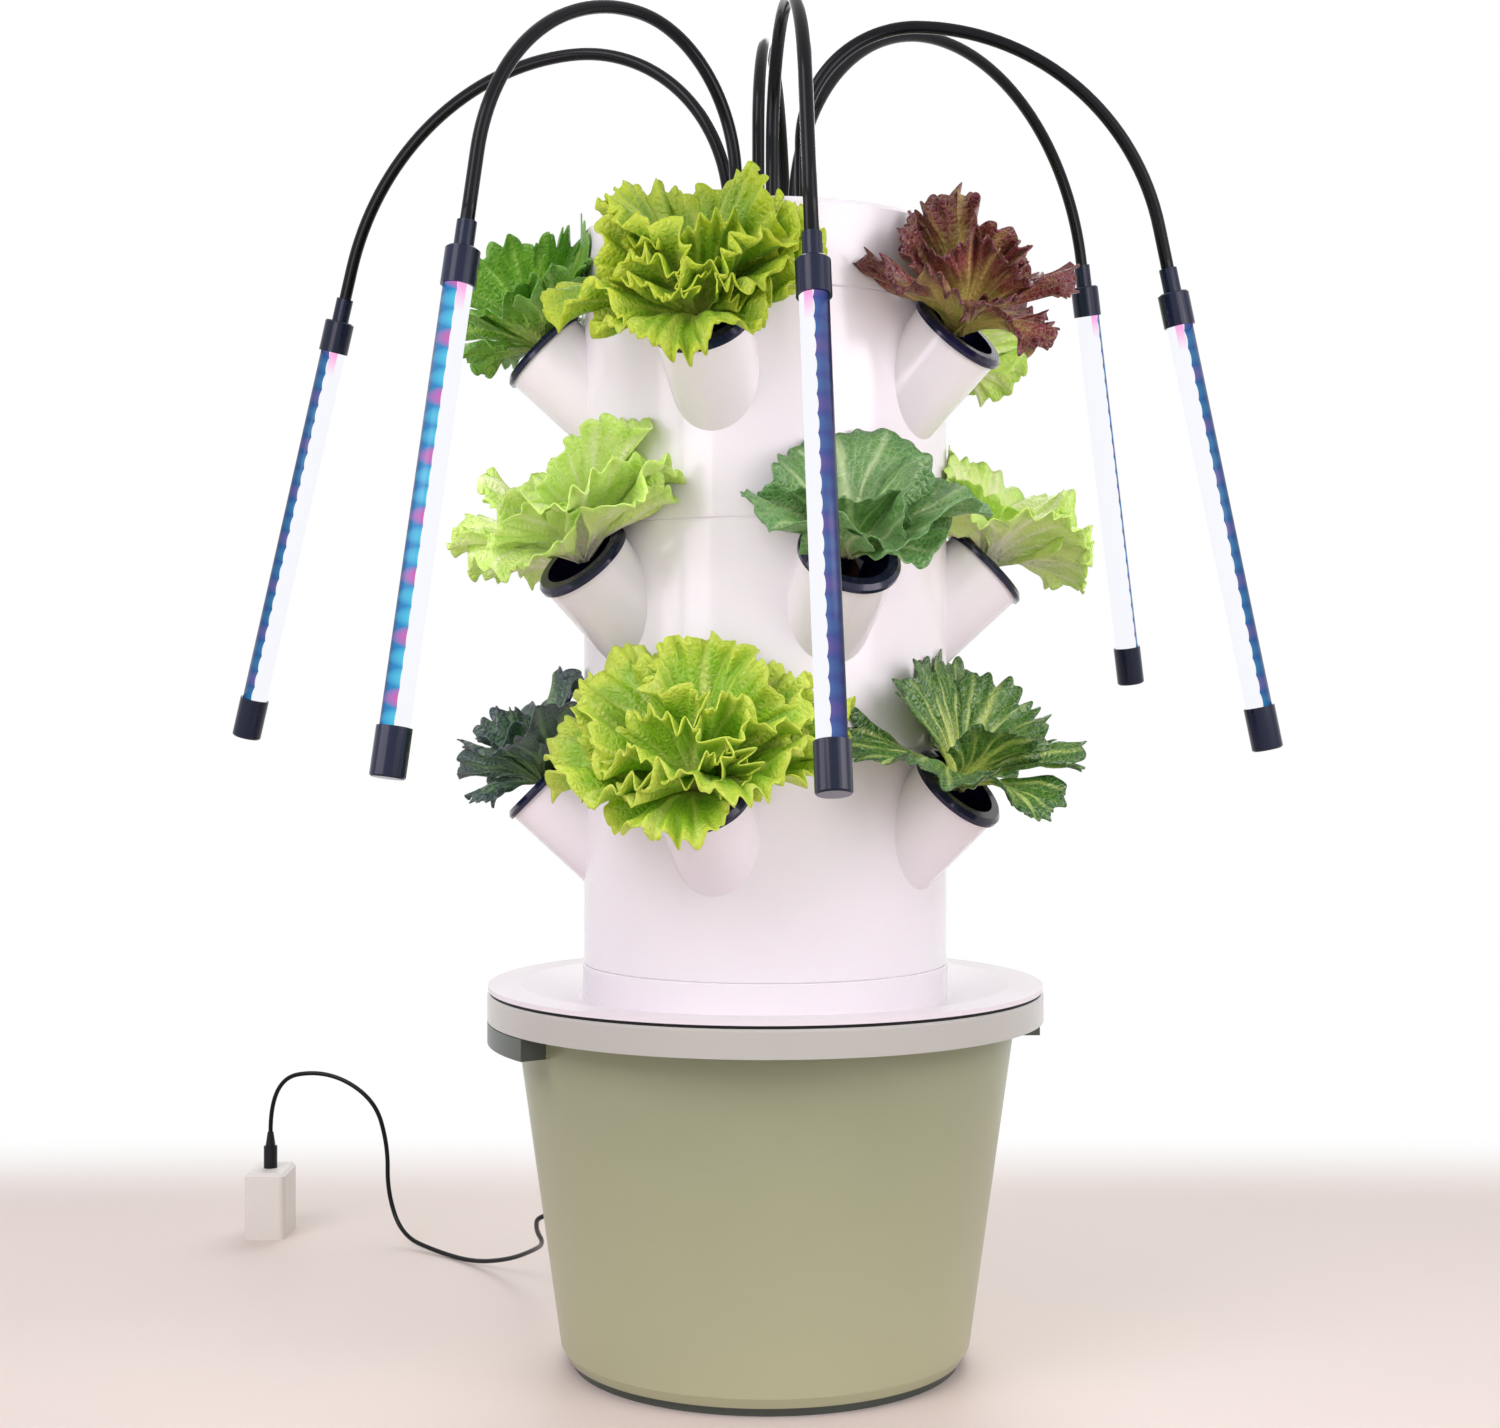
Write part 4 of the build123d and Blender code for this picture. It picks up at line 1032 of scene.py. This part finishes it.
@dataclass
class Lettuce:
    """One plant in one pod, grown as fans of ruffled leaves.

    Lengths are metres and angles degrees. Leaves keep off the tower, lie over the lip of their cup, and end softly at
    reach_r from the tower's axis, where the lamps pass.
    """

    tier: str
    azimuth: float
    kind: Kind
    pod_centre_r: float = 0.1145
    pod_drop: float = 0.0205
    pod_tilt: float = 45.0
    stem_lean: float = 16.0
    crown_r: float = 0.006
    crown_blend: float = 0.010
    lip_r: float = 0.0256
    lip_height: float = 0.0052
    lip_edge: float = 0.002
    drape: float = 1.6
    tower_r: float = 0.0966
    reach_r: float = 0.176
    reach_margin: float = 0.014
    ray_points: int = 20
    thickness: float = 0.0006
    stalk_half: float = 0.0036
    tooth: float = 0.014
    curl_share: float = 0.45
    quilt_depth: float = 0.0012
    keel: float = 0.16

    def axes(self) -> tuple[np.ndarray, np.ndarray, np.ndarray]:
        """Directions at this plant's azimuth.

        Returns:
            Outward, sideways and up.
        """
        turn = math.radians(self.azimuth)
        outward = np.array((math.sin(turn), -math.cos(turn), 0.0))
        return outward, np.cross((0.0, 0.0, 1.0), outward), np.array((0.0, 0.0, 1.0))

    def mouth(self) -> np.ndarray:
        """Find the middle of the pod's mouth.

        Returns:
            The place.
        """
        outward, _, up = self.axes()
        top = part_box(f"planter_{self.tier}")[1].z
        return outward * self.pod_centre_r + up * (top - self.pod_drop)

    def draw(self) -> Leaves:
        """Draw the leaves by lot, going round the stem by the golden turn from the outermost to the innermost.

        Leaves over the cup's front are shorter, and leaves beside the tower stand upright.

        Returns:
            The drawn leaves.
        """
        kind = self.kind.value
        lot = np.random.default_rng(kind.seed + int(self.azimuth) % 360 + 7 * TIERS.index(self.tier))
        count = kind.leaves
        inner = np.arange(count) / max(count - 1, 1)
        heading = np.arange(count) * GOLDEN_TURN + lot.uniform(-0.25, 0.25, count)
        facing = np.cos(heading)
        front, back = np.clip(facing, 0, 1), np.clip(-facing, 0, 1)
        length = np.interp(inner, (0, 1), kind.length) * lot.uniform(0.88, 1.06, count)
        length = length * (1 - kind.opened * front**2)
        lean = np.interp(inner, (0, 1), kind.lean) * (1 - 0.16 * front - 0.42 * back) + lot.uniform(-6, 6, count)
        curl = np.interp(inner, (0, 1), kind.curl) + lot.uniform(-8, 8, count)
        phase = lot.uniform(0, 2 * math.pi, (4, count))
        tone = lot.uniform(0.0, 0.38, count)
        drawn = (heading, length, np.radians(lean), np.radians(curl), phase, tone)
        return Leaves(*(values[..., None, None] for values in drawn))

    def outline(self, leaves: Leaves, step: np.ndarray, swing: np.ndarray) -> tuple[np.ndarray, np.ndarray]:
        """Flat leaves: rays that leave the stalk at an angle and end on a lobed, toothed margin.

        Args:
            leaves: The drawn leaves.
            step: Share of the way along a ray.
            swing: Place across the fan, from -1 to 1.

        Returns:
            Distance along the leaf, and to its side.
        """
        kind = self.kind.value
        first, second, third, fourth = leaves.phase
        angle = swing * math.radians(kind.fan)
        sway = swing * math.pi * kind.lobes / 2 + 0.5 * np.sin(swing * 5 + second)
        lobe = 0.6 * np.abs(np.sin(sway + first)) ** 0.7 + 0.4 * np.abs(np.sin(2.3 * sway + third))
        teeth = self.tooth * np.sin(swing * 57 + first) * (0.5 + 0.5 * np.sin(swing * 9 + fourth))
        margin = 1 - kind.notch * (1 - lobe) * 1.4 + 0.06 * np.sin(swing * 4 + third) + teeth
        ray = step**0.85 * leaves.length * np.cos(angle * 0.92) ** 0.55 * margin
        wide = ray * np.sin(angle) * (0.4 + 0.7 * step) + self.stalk_half * swing * (1 - step) ** 2
        return ray * np.cos(angle), wide

    def ruffle(self, leaves: Leaves, step: np.ndarray, swing: np.ndarray) -> np.ndarray:
        """Lift off the flat leaf: slow waves, frills and fine curls that grow to the margin, and a low quilt.

        Args:
            leaves: The drawn leaves.
            step: Share of the way along a ray.
            swing: Place across the fan, from -1 to 1.

        Returns:
            The lift.
        """
        kind = self.kind.value
        first, second, third, fourth = leaves.phase
        turn = swing * math.pi * kind.waves
        wave = np.sin(turn + fourth + 1.6 * step + 0.9 * np.sin(swing * 4 + first))
        patch = 0.35 + 0.65 * np.sin(swing * 3.7 + first) ** 2
        frill = patch * np.sin(turn * 5 + second + 3 * step + 1.5 * np.sin(swing * 7))
        curls = np.sin(turn * 9 + third + 2.2 * np.sin(swing * 13 + fourth) + 4 * step)
        curls = curls * (0.25 + 0.75 * np.sin(swing * 5.3 + second) ** 2)
        frilled = step**3.6 * frill + self.curl_share * step**7 * curls
        quilt = np.sin(swing * math.pi * 7 + third) * np.sin(step * 15 + first)
        return kind.ruffle * step**2 * wave + kind.frill * frilled + self.quilt_depth * quilt * step

    @staticmethod
    def ribs(leaves: Leaves, step: np.ndarray, swing: np.ndarray, wide: np.ndarray) -> np.ndarray:
        """Mask of the midrib, of the veins that leave the stalk, and of the finer twigs between them.

        Args:
            leaves: The drawn leaves.
            step: Share of the way along a ray.
            swing: Place across the fan, from -1 to 1.
            wide: Distance to the leaf's side.

        Returns:
            The mask.
        """
        midrib = np.exp(-((wide / (0.0010 + 0.0028 * (1 - step))) ** 2)) * (1 - 0.5 * step)
        veins = np.abs(np.sin(swing * math.pi * 3.5 + 0.35 * np.sin(step * 6 + leaves.phase[1])))
        veins = np.exp(-((veins * (0.3 + step) / 0.24) ** 2)) * (1 - step) ** 0.4
        twigs = np.abs(np.sin(swing * math.pi * 10.5 + 2.5 * step + leaves.phase[3]))
        twigs = np.exp(-((twigs * (0.3 + step) / 0.22) ** 2)) * 0.5
        twigs = twigs * np.clip(step * 3 - 0.8, 0, 1) * (1 - step) ** 0.5
        return np.maximum(midrib, np.maximum(veins, twigs))

    def grow(self) -> tuple[np.ndarray, np.ndarray]:
        """Points and marks of all leaves.

        Each flat, ruffled leaf is rolled along an arc, so that it rises and then falls outwards, and is turned to its
        heading round the stem.

        Returns:
            Points, and marks of (length share, rib, tone), both by leaf, ray step and angle step.
        """
        leaves = self.draw()
        step = np.linspace(0.0, 1.0, self.ray_points)[None, :, None]
        swing = np.linspace(-1.0, 1.0, self.kind.value.rays)[None, None, :]
        run, wide = self.outline(leaves, step, swing)
        lift = self.ruffle(leaves, step, swing) + self.keel * wide**2 / leaves.length
        bend = leaves.curl / leaves.length
        tilt = leaves.lean + bend * run
        out = (np.cos(leaves.lean) - np.cos(tilt)) / bend - lift * np.cos(tilt)
        rise = (np.sin(tilt) - np.sin(leaves.lean)) / bend + lift * np.sin(tilt)
        ahead = out * np.cos(leaves.heading) - wide * np.sin(leaves.heading)
        aside = out * np.sin(leaves.heading) + wide * np.cos(leaves.heading)
        local = np.stack(np.broadcast_arrays(ahead, aside, rise), -1)
        marks = np.stack(np.broadcast_arrays(step, self.ribs(leaves, step, swing, wide), leaves.tone), -1)
        return self.settle(local), marks

    def settle(self, local: np.ndarray) -> np.ndarray:
        """Turn leaves from the plant's own axis into place and keep them clear of what is around them.

        Args:
            local: Points ahead, aside and along the stem.

        Returns:
            The places.
        """
        outward, aside, up = self.axes()
        lean, tilt = math.radians(self.stem_lean), math.radians(self.pod_tilt)
        stem = outward * math.sin(lean) + up * math.cos(lean)
        front = outward * math.cos(lean) - up * math.sin(lean)
        points = local @ np.stack((front, aside, stem)) + self.mouth()
        axis = outward * math.cos(tilt) + up * math.sin(tilt)
        offset = points - self.mouth()
        height = offset @ axis
        off_axis = np.linalg.norm(offset - height[..., None] * axis, axis=-1)
        over = self.lip_height * np.clip((off_axis - self.crown_r) / self.crown_blend, 0, 1)
        past = off_axis - self.lip_r - self.lip_edge
        over = np.where(past > 0, over - past * self.drape, over)
        points = points + np.maximum(over - height, 0.0)[..., None] * axis
        reach = np.maximum(np.linalg.norm(points[..., :2], axis=-1), 1e-6)
        soft = self.reach_r - self.reach_margin
        held = np.where(reach > soft, soft + self.reach_margin * np.tanh((reach - soft) / self.reach_margin), reach)
        held = np.maximum(held, self.tower_r)
        return np.concatenate((points[..., :2] * (held / reach)[..., None], points[..., 2:]), -1)

    def build(self) -> bpy.types.Object:
        """Make and dress the plant, which rides on its tier.

        Returns:
            The plant.
        """
        points, marks = self.grow()
        count, rows, columns = points.shape[:3]
        quads = grid_quads(rows, columns)
        quads = (quads[None] + (np.arange(count) * rows * columns)[:, None, None]).reshape(-1, 4)
        item = make_mesh(f"lettuce_plant_{self.tier}_{int(self.azimuth) % 360}", points.reshape(-1, 3), quads)
        set_colour(item, "leaf", marks.reshape(-1, 3))
        thick = item.modifiers.new("thickness", "SOLIDIFY")
        thick.thickness, thick.offset = self.thickness, 0.0
        dress(item, self.kind.value.colours.build())
        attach(item, f"tier_{self.tier}")
        return item


PLANTS: tuple[Lettuce, ...] = (
    Lettuce("top", -16.0, Kind.GOLD_FRILLED, reach_r=0.161),
    Lettuce("top", 56.0, Kind.RED_FRILLED),
    Lettuce("top", 128.0, Kind.PALE_FRILLED),
    Lettuce("top", -160.0, Kind.DEEP_BROAD),
    Lettuce("top", -88.0, Kind.FRESH_LOBED),
    Lettuce("middle", -52.0, Kind.PALE_FRILLED),
    Lettuce("middle", 20.0, Kind.DEEP_BROAD),
    Lettuce("middle", 92.0, Kind.PALE_FRILLED),
    Lettuce("middle", 164.0, Kind.RED_FRILLED),
    Lettuce("middle", -124.0, Kind.PALE_FRILLED),
    Lettuce("bottom", -16.0, Kind.LIME_FRILLED),
    Lettuce("bottom", 56.0, Kind.MID_LOBED),
    Lettuce("bottom", 128.0, Kind.DEEP_BROAD),
    Lettuce("bottom", -160.0, Kind.PALE_FRILLED),
    Lettuce("bottom", -88.0, Kind.DUSK_BROAD),
)


def report(item: bpy.types.Object) -> None:
    """Log a dressed piece with its finish."""
    LOG.info("%s: %s", item.name, item.data.materials[0].name)


def main() -> None:
    """Build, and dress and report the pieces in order."""
    logging.basicConfig(level=logging.INFO, format="%(name)s: %(message)s")
    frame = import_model()
    NODES.update(frame["nodes"])
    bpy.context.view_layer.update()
    bpy.context.scene.view_settings.view_transform = "Standard"
    Studio().build()
    report(Lead().build())
    for name, finish in NODE_FINISHES.items():
        dress(NODES[name], finish.build())
        report(NODES[name])
    for number, back, arm in zip(LAMP_NUMBERS, LAMP_BACKS, ARMS):
        for item in (*LampBar(number).build(back), Gooseneck(number, arm).build()):
            report(item)
    replaced: set[str] = set()
    for plant in PLANTS:
        item = plant.build()
        if plant.tier not in replaced:
            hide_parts(f"lettuce_{plant.tier}")
            replaced.add(plant.tier)
        report(item)


if __name__ == "__main__":
    main()
